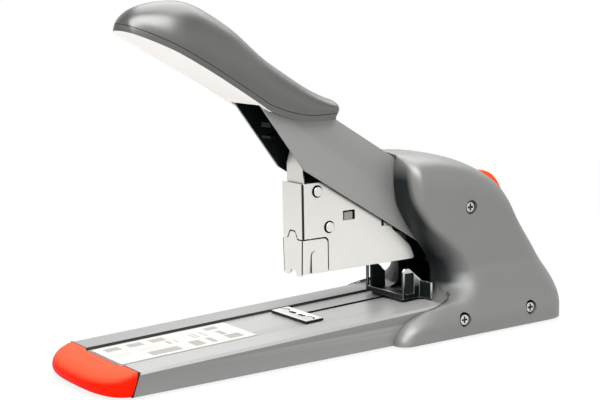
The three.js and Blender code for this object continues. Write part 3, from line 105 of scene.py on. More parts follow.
lens = bpy.data.cameras.new("camera")
lens.sensor_width = FILM_WIDTH_MM
lens.lens = FOCAL_LENGTH_PX / PICTURE_WIDTH_PX * FILM_WIDTH_MM
lens.clip_end = 50
camera = bpy.data.objects.new("camera", lens)
camera.matrix_world = view_matrix(AZIMUTH, PITCH, ROLL, Vector(VIEWPOINT_MM) * MM)
bpy.context.scene.collection.objects.link(camera)
bpy.context.scene.camera = camera
bpy.context.scene.view_settings.view_transform = "Standard"
print("lens in mm:", round(lens.lens, 2))

# %% [markdown]
# A finish is a network of shader nodes. Wrapping a node's output in a small class lets the
# sums between outputs be written as ordinary Python, which is easier to read than wires.


# %% Shader expressions
class Flow:
    """One output of a shader node, which takes part in sums."""

    def __init__(self, graph, socket):
        self.graph = graph
        self.socket = socket

    def calculate(self, operation, first, second):
        return self.graph.node("ShaderNodeMath", {0: first, 1: second}, operation=operation)

    def __add__(self, other):
        return self.calculate("ADD", self, other)

    def __radd__(self, other):
        return self.calculate("ADD", other, self)

    def __sub__(self, other):
        return self.calculate("SUBTRACT", self, other)

    def __rsub__(self, other):
        return self.calculate("SUBTRACT", other, self)

    def __mul__(self, other):
        return self.calculate("MULTIPLY", self, other)

    def __rmul__(self, other):
        return self.calculate("MULTIPLY", other, self)

    def __lt__(self, other):
        return self.calculate("LESS_THAN", self, other)

    def size(self):
        return self.calculate("ABSOLUTE", self, 0)

    def most(self, other):
        return self.calculate("MAXIMUM", self, other)

    def ramp(self, low, high):
        """0 below low, 1 above high and a straight rise between. It falls where low is the greater."""
        return self.graph.node(
            "ShaderNodeMapRange", {"Value": self, "From Min": low, "From Max": high})


# %% [markdown]
# All nodes are made by one method. It takes the node's type, then its settings, and then the values
# or links of its sockets. A finish is one principled shader and a few such calls. Its patterns read
# the object's own coordinates, so they stay in place on a piece that moves.


# %% Graphs and finishes
class Graph:
    """A tree of shader nodes, which makes the nodes and wires their sockets."""

    def __init__(self, tree):
        self.tree = tree

    def node(self, kind, sockets=None, output=0, **settings):
        made = self.tree.nodes.new(kind)
        for setting, value in settings.items():
            setattr(made, setting, value)
        for name, value in (sockets or {}).items():
            self.plug(made.inputs[name], value)
        return Flow(self, made.outputs[output] if made.outputs else None)

    def plug(self, socket, value):
        if isinstance(value, Flow):
            self.tree.links.new(value.socket, socket)
        elif socket.type == "RGBA":
            socket.default_value = (*value, 1)
        else:
            socket.default_value = value

    def axis(self, vector, index):
        return self.node("ShaderNodeSeparateXYZ", {"Vector": vector}, output=index)

    def mix(self, factor, first, second):
        return self.node(
            "ShaderNodeMix", {"Factor": factor, 6: first, 7: second}, output=2, data_type="RGBA")


class Finish(Graph):
    """A material with one principled shader, whose sockets are fed by name."""

    def __init__(self, name, **settings):
        self.material = bpy.data.materials.new(name)
        self.material.use_nodes = True
        super().__init__(self.material.node_tree)
        self.shader = self.tree.nodes["Principled BSDF"]
        for socket, value in settings.items():
            self.feed(socket.replace("_", " "), value)
        self.place = self.node("ShaderNodeTexCoord", output="Object")

    def feed(self, socket, value):
        self.plug(self.shader.inputs[socket], value)

    def noise(self, scale, detail, roughness=0.5, stretch=(1, 1, 1)):
        place = self.node("ShaderNodeMapping", {"Vector": self.place, "Scale": stretch})
        return self.node("ShaderNodeTexNoise", {
            "Vector": place, "Scale": scale, "Detail": detail, "Roughness": roughness})

    def bump(self, height, strength, distance):
        self.feed("Normal", self.node("ShaderNodeBump", {
            "Height": height, "Strength": strength, "Distance": distance}))


# %% [markdown]
# The painted and moulded pieces share one satin grey with some metal powder in it, so that it shines
# pale towards the light and darkens where it faces the dark throat. The housing's grey is also given
# painted shade at its lip and in the throat. Under a lens the paint has a very fine grain, its gloss
# wanders a little from place to place, and the edges are rubbed paler. The orange's upward faces get
# a paler orange, a painted highlight of the light from above.


# %% A satin finish
def tint(colour, factor):
    return tuple(min(1, channel * factor) for channel in colour)


CLOUD_SCALE = 22
FLECK_SCALE = 5200
FLECK_SHARE = 0.3
FLECK_TINT = 1.25
RUBBED_EDGE = (0.53, 0.62)
RUBBED_TINT = 1.9
GLOSS_WANDER = 0.08
GRAIN_HEIGHT_M = 0.00004


def satin(name, colour, roughness, grain=0.02, wander=0.05, worn=0.0, painted_throat_shade=False, painted_top_light=None,
          **settings):
    """A satin finish, rubbed at its edges, with painted shade at the throat or a painted paler colour
    on top.
    """
    finish = Finish(name, **settings)
    cloud = finish.noise(CLOUD_SCALE, detail=3)
    fleck = finish.noise(FLECK_SCALE, detail=1)
    shade = finish.mix(cloud, tint(colour, 1 - wander), tint(colour, 1 + wander))
    shade = finish.mix(fleck * FLECK_SHARE, shade, tint(colour, FLECK_TINT))
    if worn:
        edge = finish.node("ShaderNodeNewGeometry", output="Pointiness")
        rub = finish.node("ShaderNodeMapRange", {
            "Value": edge, "From Min": RUBBED_EDGE[0], "From Max": RUBBED_EDGE[1],
            "To Min": 0, "To Max": worn})
        shade = finish.mix(rub, shade, tint(colour, RUBBED_TINT))
    # Painted shade: where the housing faces forward at the lip and inside the throat, its grey is
    # darkened towards black.
    if painted_throat_shade:
        facing = finish.axis(finish.node("ShaderNodeNewGeometry", output="Normal"), 1)
        height = finish.axis(finish.place, 2)
        inner = finish.axis(finish.place, 0).size()
        below_roof = height.ramp(*LIP_SHADE_TOP_M)
        painted_shade = facing.ramp(*LIP_SHADE_FACING) * height.ramp(*LIP_SHADE_RISE_M) * below_roof
        painted_shade = painted_shade * (inner + height * LIP_SHADE_TAPER).ramp(*LIP_SHADE_REACH_M)
        painted_shade = painted_shade.most(facing.ramp(*THROAT_FACING) * inner.ramp(*THROAT_SHADE_M) * below_roof)
        shade = finish.mix(painted_shade, shade, THROAT_SHADE_COLOUR)
    # Painted highlight: upward faces get a paler colour, standing in for the light from above.
    if painted_top_light:
        rise = finish.axis(finish.node("ShaderNodeNewGeometry", output="Normal"), 2)
        shade = finish.mix(rise.ramp(*TOP_LIGHT_RISE), shade, painted_top_light)
    finish.feed("Base Color", shade)
    finish.feed("Roughness", roughness - GLOSS_WANDER / 2 + cloud * GLOSS_WANDER)
    finish.bump(fleck, grain, GRAIN_HEIGHT_M)
    return finish.material


# %% [markdown]
# The mouldings and the sheet parts are coated apart, so their greys differ a little. Each is one
# call with its own colour and gloss, set by laying renders beside the photograph. The housing's
# finish gets painted shade at its lip and inside the throat, where the photograph shows nothing but
# black.
# The base's outer walls take a darker copy of the base's silver, which is painted shade on the same
# sheet.

# %% Painted and moulded finishes
GREY = (0.208, 0.209, 0.2)
BLACK = (0.004, 0.006, 0.0065)
# Colour of the painted shade at the housing's lip and throat.
THROAT_SHADE_COLOUR = (0.012, 0.016, 0.017)
LIP_SHADE_FACING = (-0.2, -0.8)
LIP_SHADE_RISE_M = (0.019, 0.026)
LIP_SHADE_TOP_M = (0.092, 0.081)
LIP_SHADE_TAPER = 0.17
LIP_SHADE_REACH_M = (0.0395, 0.036)
THROAT_FACING = (-0.1, -0.6)
THROAT_SHADE_M = (0.022, 0.017)
TOP_LIGHT_RISE = (0.3, 0.8)
# The orange cap's paler top colour, a painted highlight.
PAINTED_TOP_ORANGE = (1.0, 0.085, 0.036)
PAINT_METAL = 0.5
housing_grey = satin("housing_grey", GREY, 0.44, worn=0.2, painted_throat_shade=True, Metallic=PAINT_METAL)
grip_grey = satin("grip_grey", tint(GREY, 0.69), 0.37, worn=0.2, Metallic=0.75)
lever_grey = satin("lever_grey", tint(GREY, 1.22), 0.42, worn=0.6, Metallic=PAINT_METAL)
base_silver = satin("base_silver", (0.235, 0.235, 0.228), 0.3, worn=0.6, Metallic=0.2)
# Painted shade: the base's outer walls take a darker copy of the silver on its top.
wall_silver_shaded = satin("wall_silver_shaded", (0.172, 0.172, 0.167), 0.32, worn=0.6, Metallic=0.2)
recess_shade = satin("recess_shade", (0.02, 0.022, 0.022), 0.7, Specular_IOR_Level=0.05)
orange = satin("orange", (1.0, 0.011, 0.001), 0.5, wander=0.02, painted_top_light=PAINTED_TOP_ORANGE,
               Specular_IOR_Level=0.04)
button_orange = satin("button_orange", (1.0, 0.085, 0.012), 0.5, wander=0.03, Specular_IOR_Level=0.1)
# A pale colour for the grip's underside, painted light from the white table below.
underside_floor_light = satin("underside_floor_light", (0.9, 0.885, 0.85), 0.4, wander=0.01, Specular_IOR_Level=0.3)
screw_shade = satin("screw_shade", (0.1, 0.1, 0.1), 0.35, Metallic=0.6)
lug_grey = satin("lug_grey", (0.3, 0.3, 0.29), 0.4, Metallic=0.5)
black_plastic = satin("black_plastic", BLACK, 0.42, Specular_IOR_Level=0.3)
black_steel = satin("black_steel", BLACK, 0.38, worn=0.3, Specular_IOR_Level=0.3)
# The black given to the faces inside the lever.
lever_inside_black = satin("lever_inside_black", (0.003, 0.0055, 0.006), 0.5, Specular_IOR_Level=0.2)
rubber = satin("rubber", (0.016, 0.016, 0.016), 0.85, grain=0.2)
print("nodes in the lever's paint:", len(lever_grey.node_tree.nodes))

# %% [markdown]
# Nickel-plated sheet is bright, slightly warm and never quite clean: the rolling of the sheet
# leaves faint lines along it, and handling leaves soft, duller clouds. Where a plated piece runs into
# the dark of the machine, painted shade turns it black over a range of heights: the top of the driver
# blade and the lower outer sides of the stop's ears.


# %% Bright metal finishes
ROLLED_SCALE = 900
DULL_SCALE = 60
DULL_TINTS = (0.93, 1.04)
DULL_WANDER = 0.1
ROLLED_STRENGTH = 0.03
ROLLED_HEIGHT_M = 0.00003


def plated(name, colour, roughness, along, scratch=0.08, painted_shade_mm=None):
    finish = Finish(name, Metallic=1.0, Roughness=roughness, Specular_IOR_Level=0.1)
    lines = finish.noise(ROLLED_SCALE, detail=3, stretch=along)
    cloud = finish.noise(DULL_SCALE, detail=4, roughness=0.6)
    tone = finish.mix(cloud, *(tint(colour, factor) for factor in DULL_TINTS))
    # Painted shade: over this range of heights the finish turns black.
    if painted_shade_mm:
        lit_mm, black = painted_shade_mm
        height_shade = finish.axis(finish.place, 2).ramp(lit_mm * MM, black * MM)
        tone = finish.mix(height_shade, tone, BLACK)
        finish.feed("Metallic", 1 - height_shade)
    finish.feed("Base Color", tone)
    finish.feed("Roughness", roughness - DULL_WANDER / 2 + cloud * DULL_WANDER + lines * scratch)
    finish.bump(lines, ROLLED_STRENGTH, ROLLED_HEIGHT_M)
    return finish.material


NICKEL = (0.84, 0.825, 0.785)
nickel = plated("nickel", NICKEL, 0.28, (1, 0.05, 1))
# Painted shade darkens the top of the driver blade and the lower outer sides of the stop's ears.
driver_nickel = plated("driver_nickel", tint(NICKEL, 0.92), 0.28, (1, 1, 0.05), painted_shade_mm=(92, 104))
steel = plated("steel", (0.62, 0.63, 0.64), 0.26, (1, 0.05, 1))
ear_steel = plated("ear_steel", (0.62, 0.63, 0.64), 0.26, (1, 0.05, 1), painted_shade_mm=(32, 24))
screw_chrome = plated("screw_chrome", (0.66, 0.66, 0.65), 0.2, (1, 1, 1), scratch=0.03)
print("nodes in the nickel:", len(nickel.node_tree.nodes))

# %% [markdown]
# The instruction plate is a pale printed film. Its print is kept generic: plain grey blocks and
# lines where a real plate has its pictures, with no words and no signs.

# %% Printed film
PRINT_BLOCKS = [
    (9.5, -94, 7, 16), (-9.5, -112, 6, 8), (-9.5, -100, 6, 8), (-9.5, -88, 6, 8), (0, -112, 0.5, 9),
    (2, -112, 0.5, 9), (4, -112, 0.5, 9), (0, -98, 0.5, 12), (2, -98, 0.5, 12), (-2, -86, 6, 2),
    (-2, -82, 6, 1), (8, -76, 9, 6), (8, -68, 9, 3), (-4, -70, 9, 1), (-4, -72, 9, 1), (-4, -66, 9, 1),
    (-10, -58, 5, 7), (0, -58, 8, 3), (9, -56, 7, 8),
]
INK_SHARE = 0.7


def film(name, ground, ink):
    """A pale ground with the print blocks, each given as x, y, width and length in millimetres."""
    finish = Finish(name, Roughness=0.45)
    across, along = finish.axis(finish.place, 0), finish.axis(finish.place, 1)

    def block(x, y, width, length):
        inside = (across - x * MM).size() < width * MM / 2
        return inside * ((along - y * MM).size() < length * MM / 2)

    printed = block(*PRINT_BLOCKS[0])
    for place in PRINT_BLOCKS[1:]:
        printed = printed.most(block(*place))
    finish.feed("Base Color", finish.mix(printed * INK_SHARE, ground, ink))
    return finish.material


label_film = film("label_film", (0.54, 0.515, 0.48), (0.16, 0.16, 0.15))
print("blocks of print:", len(PRINT_BLOCKS))

# %% [markdown]
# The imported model's record says which body each piece moves with and which slot its material fills.
# Both are looked up there and not written out again, so a finished piece always moves with the
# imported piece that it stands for.

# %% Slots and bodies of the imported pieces
slot_of_node = {part["node"]: part["material_slot"] for part in frame["record"]["subparts"]}
body_of_node = {
    node: body for body, members in frame["record"]["behaviour"]["bodies"].items() for node in members
}
print("slots:", len(set(slot_of_node.values())), "bodies:", len(set(body_of_node.values())))

# %% [markdown]
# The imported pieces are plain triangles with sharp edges. Real sheet metal and mouldings have small
# rounded edges that catch the light. Each piece is copied, its flat faces are joined again, and a
# bevel rounds the edges that turn by more than a set angle.

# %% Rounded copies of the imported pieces
SHARP_ANGLE = math.radians(34)
FLAT_ANGLE = math.radians(0.4)
MERGE_MM = 0.002
SEATED_MM = {"instruction_plate": 0.28}


def join_flat_faces(mesh):
    bmesh.ops.dissolve_limit(mesh, angle_limit=FLAT_ANGLE, verts=mesh.verts, edges=mesh.edges)


def joined_mesh(name):
    mesh = bmesh.new()
    mesh.from_mesh(nodes[name].data)
    bmesh.ops.remove_doubles(mesh, verts=mesh.verts, dist=MERGE_MM * MM)
    join_flat_faces(mesh)
    bmesh.ops.recalc_face_normals(mesh, faces=mesh.faces)
    return mesh


def make_object(name, mesh, materials):
    data = bpy.data.meshes.new(name)
    mesh.to_mesh(data)
    mesh.free()
    for material in materials:
        data.materials.append(material)
    made = bpy.data.objects.new(name, data)
    bpy.context.scene.collection.objects.link(made)
    return made


def smooth(piece, angle=SHARP_ANGLE):
    piece.data.polygons.foreach_set("use_smooth", [True] * len(piece.data.polygons))
    piece.data.set_sharp_from_angle(angle=angle)


def round_edges(piece, width_mm, segments=2, angle=SHARP_ANGLE):
    bevel = piece.modifiers.new("rounded edges", "BEVEL")
    bevel.width = width_mm * MM
    bevel.segments = segments
    bevel.limit_method = "ANGLE"
    bevel.angle_limit = angle
    bevel.harden_normals = True


def stands_for(piece, *names):
    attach(piece, body_of_node[names[0]])
    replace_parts(piece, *names)


def rounded_copy(name, materials, width_mm=0.2, choose=None, segments=2, angle=SHARP_ANGLE, cuts=()):
    """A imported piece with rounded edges. choose gives each face the number of its material."""
    mesh = joined_mesh(name)
    if cuts:
        mesh = combine(mesh, *[("DIFFERENCE", cut) for cut in cuts])
        join_flat_faces(mesh)
    if name in SEATED_MM:
        bmesh.ops.translate(mesh, verts=mesh.verts, vec=(0, 0, -SEATED_MM[name] * MM))
    if choose:
        for face in mesh.faces:
            face.material_index = choose(face)
    piece = make_object(name + "_rounded", mesh, materials)
    smooth(piece, angle)
    round_edges(piece, width_mm, segments, angle)
    stands_for(piece, name)
    return piece


# %% [markdown]
# The housing and the grip are freeform mouldings. Sculpting them would be quick and hard to repeat,
# so each is drawn: two smooth curves seen from the side, with a grid of points between them, whose
# width swells in from the edges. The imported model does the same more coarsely.


# %% Smooth curves
def curve_through(shares, low, high, count, crowding=1.0):
    corners = numpy.array(low) + numpy.array(shares) * (numpy.array(high) - numpy.array(low))
    last = len(corners) - 1
    along = numpy.linspace(0, 1, count) ** crowding * last
    first = numpy.minimum(along.astype(int), last - 1)
    step = (along - first)[:, None]
    before, start = corners[numpy.maximum(first - 1, 0)], corners[first]
    end, after = corners[first + 1], corners[numpy.minimum(first + 2, last)]
    leave, arrive = (end - before) / 2, (after - start) / 2
    return ((2 * start - 2 * end + leave + arrive) * step ** 3
            + (3 * end - 3 * start - 2 * leave - arrive) * step ** 2 + leave * step + start)


def distance_to(points, outline):
    start, edge = outline[:-1], outline[1:] - outline[:-1]
    offset = points[..., None, :] - start
    share = numpy.clip((offset * edge).sum(-1) / (edge * edge).sum(-1), 0, 1)
    return numpy.linalg.norm(offset - share[..., None] * edge, axis=-1).min(-1)


def swell(depth, reach, power):
    share = numpy.clip(depth / reach, 0, 1)
    return (1 - (1 - share) ** power) ** (1 / power)


def between(first, second, columns):
    """A grid of points from one curve to another, closer together near both."""
    share = (1 - numpy.cos(numpy.pi * numpy.linspace(0, 1, columns))) / 2
    return first[None] + (second - first)[None] * share[:, None, None]


print("width half way into a round edge:", round(float(swell(0.5, 1, 2)), 3))

# %% [markdown]
# A grid of faces takes the places of such points, and it becomes a solid when it gets a second side
# or closed ends. Inside the machine, y is measured from the front of the base channel and z from its
# lower edge.

# %% Solids from grids
HOUSING_REAR_MM = 260
MACHINE_Y_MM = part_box("housing_right")[1][1] / MM - HOUSING_REAR_MM
MACHINE_Z_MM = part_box("housing_right")[0][2] / MM
FAR_MM = 60
print("front and foot of the machine in mm:", round(MACHINE_Y_MM, 2), round(MACHINE_Z_MM, 2))


def placed(x, y, z):
    return Vector((x * MM, (y + MACHINE_Y_MM) * MM, (z + MACHINE_Z_MM) * MM))


def sheet(x, points):
    """A bmesh grid whose corners stand at x and at the (y, z) of points."""
    columns, rows = x.shape
    mesh = bmesh.new()
    bmesh.ops.create_grid(mesh, x_segments=columns - 1, y_segments=rows - 1, size=0.5)
    for corner in mesh.verts:
        i = round((corner.co.x + 0.5) * (columns - 1))
        j = round((corner.co.y + 0.5) * (rows - 1))
        corner.co = placed(x[i, j], points[i, j, 0], points[i, j, 1])
    return mesh


def close_sheet(mesh, flat_x=None):
    """Give a sheet a second side, flat at flat_x or else a mirror image of the first."""
    made = bmesh.ops.extrude_face_region(mesh, geom=mesh.faces[:])
    for corner in made["geom"]:
        if isinstance(corner, bmesh.types.BMVert):
            corner.co.x = -corner.co.x if flat_x is None else flat_x * MM
    return tidy(mesh)


def tidy(mesh):
    bmesh.ops.remove_doubles(mesh, verts=mesh.verts, dist=MERGE_MM * MM)
    bmesh.ops.recalc_face_normals(mesh, faces=mesh.faces)
    return mesh


def close_ends(mesh):
    bmesh.ops.holes_fill(mesh, edges=[edge for edge in mesh.edges if edge.is_boundary], sides=0)
    bmesh.ops.recalc_face_normals(mesh, faces=mesh.faces)
    return mesh


# %% [markdown]
# The plain solids that cut the freeform ones are outlines pushed along one direction. A primitive
# box would need turning and scaling, where an outline says the places of its corners.

# %% Solids from outlines
ROD_SIDES = 48


def pushed(corners, move_mm):
    """A solid made by pushing a flat outline of placed corners along a vector."""
    mesh = bmesh.new()
    bmesh.ops.create_circle(mesh, cap_ends=True, radius=1, segments=len(corners))
    for corner, place in zip(mesh.verts, corners):
        corner.co = place
    made = bmesh.ops.extrude_face_region(mesh, geom=mesh.faces[:])
    moved = [corner for corner in made["geom"] if isinstance(corner, bmesh.types.BMVert)]
    bmesh.ops.translate(mesh, verts=moved, vec=Vector(move_mm) * MM)
    bmesh.ops.recalc_face_normals(mesh, faces=mesh.faces)
    return mesh


def prism(outline, low_x, high_x):
    """A solid along x with an outline in (y, z)."""
    return pushed([placed(low_x, y, z) for y, z in outline], (high_x - low_x, 0, 0))


def prism_along_y(section, low_y, high_y):
    """A solid along y with a section in (x, z)."""
    return pushed([placed(x, low_y, z) for x, z in section], (0, high_y - low_y, 0))


def rod(y, z, radius, low_x, high_x):
    mesh = bmesh.new()
    middle = placed((low_x + high_x) / 2, y, z)
    bmesh.ops.create_cone(
        mesh, cap_ends=True, segments=ROD_SIDES, radius1=radius * MM, radius2=radius * MM,
        depth=(high_x - low_x) * MM,
        matrix=Matrix.Translation(middle) @ Matrix.Rotation(math.pi / 2, 4, "Y"))
    return mesh


# %% [markdown]
# Openings are cut with Boolean modifiers, which are applied at once. That keeps every cut as plain
# as its outline and leaves one clean mesh, which a bevel or another cut can go on from.


# %% Cuts
def combine(mesh, *steps):
    """Cut or meet a solid with others. Each step is an operation and a bmesh."""
    base = make_object("being_cut", mesh, [])
    tools = []
    for number, (operation, tool) in enumerate(steps):
        tools.append(make_object(f"tool_{number}", tool, []))
        cut = base.modifiers.new(f"cut {number}", "BOOLEAN")
        cut.operation = operation
        cut.object = tools[-1]
        cut.solver = "MANIFOLD"
    bpy.context.view_layer.update()
    graph = bpy.context.evaluated_depsgraph_get()
    done = bmesh.new()
    done.from_object(base, graph)
    for used in [base, *tools]:
        data = used.data
        bpy.data.objects.remove(used)
        bpy.data.meshes.remove(data)
    return done


def flipped(mesh):
    copy = mesh.copy()
    bmesh.ops.scale(copy, verts=copy.verts, vec=(-1, 1, 1))
    bmesh.ops.reverse_faces(copy, faces=copy.faces)
    return copy


# %% [markdown]
# The housing is two shells that meet on the middle plane. Its sides flare out over the base, its
# roof is round, and beside the throat its edge rolls inward to the lever. One function draws the
# outer side, and the same function with an inset draws the inner one, so the wall is even.

# %% Sides of the housing
HOUSING_FRONT_MM = 158.5
HOUSING_HEIGHT_MM = 93
HOUSING_WIDTH_MM = 60
HOUSING_FOOT_WIDTH_MM = 86
HOUSING_WALL_MM = 2.4
HOUSING_CROWN_MM = 22
HOUSING_CROWN_POWER = 3
BASE_WIDTH_MM = 70
THROAT_WIDTH_MM = 26.8
ROOF_SETBACK_MM = 9
JOINT_GAP_MM = 0.15
CLEARANCE_MM = 0.3
BASE_FRONT_HEIGHT_MM = 10.8
BASE_SLOPE = 0.032475
FLARE_SHARES = (0.065, 0.366)
TUCK_FROM_MM = 141.5
TUCK_TO_SHARE = 0.269
LIP_ROLL_MM = (22, 7)
LIP_ROLL_Z_MM = 30
LIP_ROLL_REACH_MM = 24
LIP_ROLL_POWER = 2.2
EDGE_POINTS = 121
BACK_SHARES = [
    (0, 1), (0.12, 0.996), (0.22, 0.987), (0.31, 0.968), (0.41, 0.938), (0.5, 0.9), (0.586, 0.852),
    (0.665, 0.79), (0.734, 0.7), (0.793, 0.59), (0.852, 0.495), (0.901, 0.42), (0.946, 0.34),
    (0.985, 0.25), (1, 0.15), (1, 0),
]
LIP_SHARES = [
    (0.03, 1), (0.015, 0.9), (0.015, 0.81), (0.03, 0.72), (0.074, 0.63), (0.128, 0.54),
    (0.197, 0.44), (0.236, 0.365), (0.246, 0.27), (0.225, 0.2), (0.1, 0.17), (0.02, 0.155),
    (-0.085, 0.112), (-0.148, 0.045), (-0.167, 0),
]
housing_low, housing_high = (HOUSING_FRONT_MM, 0), (HOUSING_REAR_MM, HOUSING_HEIGHT_MM)


def top_of_base(y):
    return BASE_FRONT_HEIGHT_MM + BASE_SLOPE * y


def ease(value, low, high):
    share = numpy.clip((value - low) / (high - low), 0, 1)
    return share * share * (3 - 2 * share)


def housing_half_width(z):
    start, end = FLARE_SHARES
    flare = numpy.clip((z / HOUSING_HEIGHT_MM - start) / (end - start), 0, 1)
    flare = (1 + numpy.cos(numpy.pi * flare)) / 2
    return (HOUSING_WIDTH_MM + (HOUSING_FOOT_WIDTH_MM - HOUSING_WIDTH_MM) * flare) / 2


def housing_sheet(inset, columns, rows):
    """The outer side of a housing half, or its inner side at an inset."""
    back = curve_through(BACK_SHARES, housing_low, housing_high, rows)
    lip = curve_through(LIP_SHARES, housing_low, housing_high, rows)
    along = numpy.gradient(back, axis=0)
    along /= numpy.linalg.norm(along, axis=1)[:, None]
    back = back + numpy.stack([along[:, 1], -along[:, 0]], axis=1) * inset
    lip = lip + numpy.array([inset, 0])
    lip[:, 1] = numpy.minimum(lip[:, 1], HOUSING_HEIGHT_MM - inset)
    points = between(lip, back, columns)
    z = points[..., 1]
    side = housing_half_width(z)
    back_edge = curve_through(BACK_SHARES, housing_low, housing_high, EDGE_POINTS)
    lip_edge = curve_through(LIP_SHARES, housing_low, housing_high, EDGE_POINTS)
    full = (side - inset) * swell(
        distance_to(points, back_edge) - inset, HOUSING_CROWN_MM, HOUSING_CROWN_POWER)
    wide, narrow = BASE_WIDTH_MM / 2 + CLEARANCE_MM, THROAT_WIDTH_MM / 2
    tucked = wide + (narrow - wide) * ease(
        z, top_of_base(TUCK_FROM_MM), HOUSING_HEIGHT_MM * TUCK_TO_SHARE)
    tucked = numpy.minimum(full, tucked)
    away = numpy.minimum(1, abs(z - LIP_ROLL_Z_MM) / LIP_ROLL_REACH_MM)
    roll = LIP_ROLL_MM[0] + (LIP_ROLL_MM[1] - LIP_ROLL_MM[0]) * away
    x = tucked + (full - tucked) * swell(
        distance_to(points, lip_edge) - inset, roll, LIP_ROLL_POWER)
    x[-1, :-1] = 0
    points[:, -1, 1] = -FAR_MM if inset else 0
    return x, points


def housing_solid(inset, columns, rows, flat_x):
    x, points = housing_sheet(inset, columns, rows)
    return close_sheet(sheet(numpy.maximum(x, flat_x), points), flat_x)


print("half width over the base in mm:", round(float(housing_half_width(0)), 2))

# %% [markdown]
# Three plain solids make room in the housing: for the base below, for the lever and the head in the
# throat, and for the release button in its window, which leans back with the roof.

# %% Spaces in the housing
BUTTON_PLACE_MM = (228, 70.029)
BUTTON_LEAN = math.radians(46)
WINDOW_HALF_LENGTH_MM = 12
WINDOW_HALF_WIDTH_MM = 8.3
WINDOW_DEPTHS_MM = (-8, 30)


def in_button_frame(along, proud):
    y = BUTTON_PLACE_MM[0] + along * math.cos(BUTTON_LEAN) + proud * math.sin(BUTTON_LEAN)
    z = BUTTON_PLACE_MM[1] - along * math.sin(BUTTON_LEAN) + proud * math.cos(BUTTON_LEAN)
    return y, z


SPACE_FRONT_MM = HOUSING_FRONT_MM - FAR_MM
BASE_LENGTH_MM = 244
base_rear = BASE_LENGTH_MM + CLEARANCE_MM
base_space = prism([
    (SPACE_FRONT_MM, -FAR_MM), (SPACE_FRONT_MM, top_of_base(SPACE_FRONT_MM) + CLEARANCE_MM),
    (base_rear, top_of_base(BASE_LENGTH_MM) + CLEARANCE_MM), (base_rear, -FAR_MM),
], -FAR_MM, BASE_WIDTH_MM / 2 + CLEARANCE_MM)
throat_rear = HOUSING_FRONT_MM + ROOF_SETBACK_MM + HOUSING_CROWN_MM
roof = HOUSING_HEIGHT_MM - 2 * HOUSING_WALL_MM
throat_floor = top_of_base(HOUSING_FRONT_MM)
ARM_AXLE_MM = (215, 40)
ARM_RISE = math.radians(31.4)
ARM_SLOPE = math.tan(ARM_RISE)
ARM_OVER_AXLE_MM = 15.2
ARM_BACK_MM = ARM_OVER_AXLE_MM / math.cos(ARM_RISE)
ROOF_GAP_MM = 0.5


def back_of_arm(y):
    return ARM_AXLE_MM[1] + ARM_BACK_MM + (ARM_AXLE_MM[0] - y) * ARM_SLOPE


roof_meets = ARM_AXLE_MM[0] - (roof - ROOF_GAP_MM - ARM_AXLE_MM[1] - ARM_BACK_MM) / ARM_SLOPE
throat = prism([
    (SPACE_FRONT_MM, throat_floor), (throat_rear, throat_floor), (throat_rear, roof),
    (roof_meets, roof), (SPACE_FRONT_MM, back_of_arm(SPACE_FRONT_MM) + ROOF_GAP_MM),
], -FAR_MM, THROAT_WIDTH_MM / 2)
window = prism([
    in_button_frame(along * WINDOW_HALF_LENGTH_MM, depth)
    for along, depth in zip((-1, 1, 1, -1), sorted(WINDOW_DEPTHS_MM * 2))
], -FAR_MM, WINDOW_HALF_WIDTH_MM)
print("throat in mm, from its floor to its roof:", round(throat_floor, 2), round(roof, 2))

# %% [markdown]
# The right shell is the outer solid less its lining, the three spaces and the screw holes, with a
# boss added under each screw. The left one is its mirror image. The inner faces are black, and a
# face at the roof's edge that looks up keeps the paint.

# %% Shells of the housing
SCREW_PLACES_MM = [(182.5, 8.5), (228, 8.5), (197.5, 63.519)]
COUNTERBORE_DEPTH_MM = 2.6
COUNTERBORE_RADIUS_MM = 3.8
BOSS_RADIUS_MM = 4.4
BOSS_THICKNESS_MM = 1.2
HOUSING_GRID = (72, 120)
LINING_GRID = (30, 60)
LINING_PAST_MM = 2

lining = housing_solid(HOUSING_WALL_MM, *LINING_GRID, -LINING_PAST_MM)
steps = [("DIFFERENCE", cut) for cut in (lining, base_space, throat, window)]
for y, z in SCREW_PLACES_MM:
    seat = housing_half_width(z) - COUNTERBORE_DEPTH_MM
    steps.append(("DIFFERENCE", rod(y, z, COUNTERBORE_RADIUS_MM, seat, seat + FAR_MM)))
shell = combine(housing_solid(0, *HOUSING_GRID, JOINT_GAP_MM), *steps)
for y, z in SCREW_PLACES_MM:
    seat = housing_half_width(z) - COUNTERBORE_DEPTH_MM
    boss = rod(y, z, BOSS_RADIUS_MM, seat - BOSS_THICKNESS_MM, seat)
    boss_data = bpy.data.meshes.new("boss")
    boss.to_mesh(boss_data)
    boss.free()
    shell.from_mesh(boss_data)
    bpy.data.meshes.remove(boss_data)
shell.normal_update()
for face in shell.faces:
    looks_inward = face.normal.x < -0.02
    looks_up = face.normal.z > 0.5
    face.material_index = int(looks_inward and not looks_up)
other_shell = flipped(shell)
for side, half in (("right", shell), ("left", other_shell)):
    moulding = make_object(f"housing_{side}_moulding", half, [housing_grey, black_plastic])
    smooth(moulding)
    stands_for(moulding, f"housing_{side}")
    print(moulding.name, "faces:", len(moulding.data.polygons))

# %% [markdown]
# The grip is one long swelling with a blunt nose and a waist, drawn as the housing is. Its crown
# grows flatter towards the rear, where it sits over the lever.

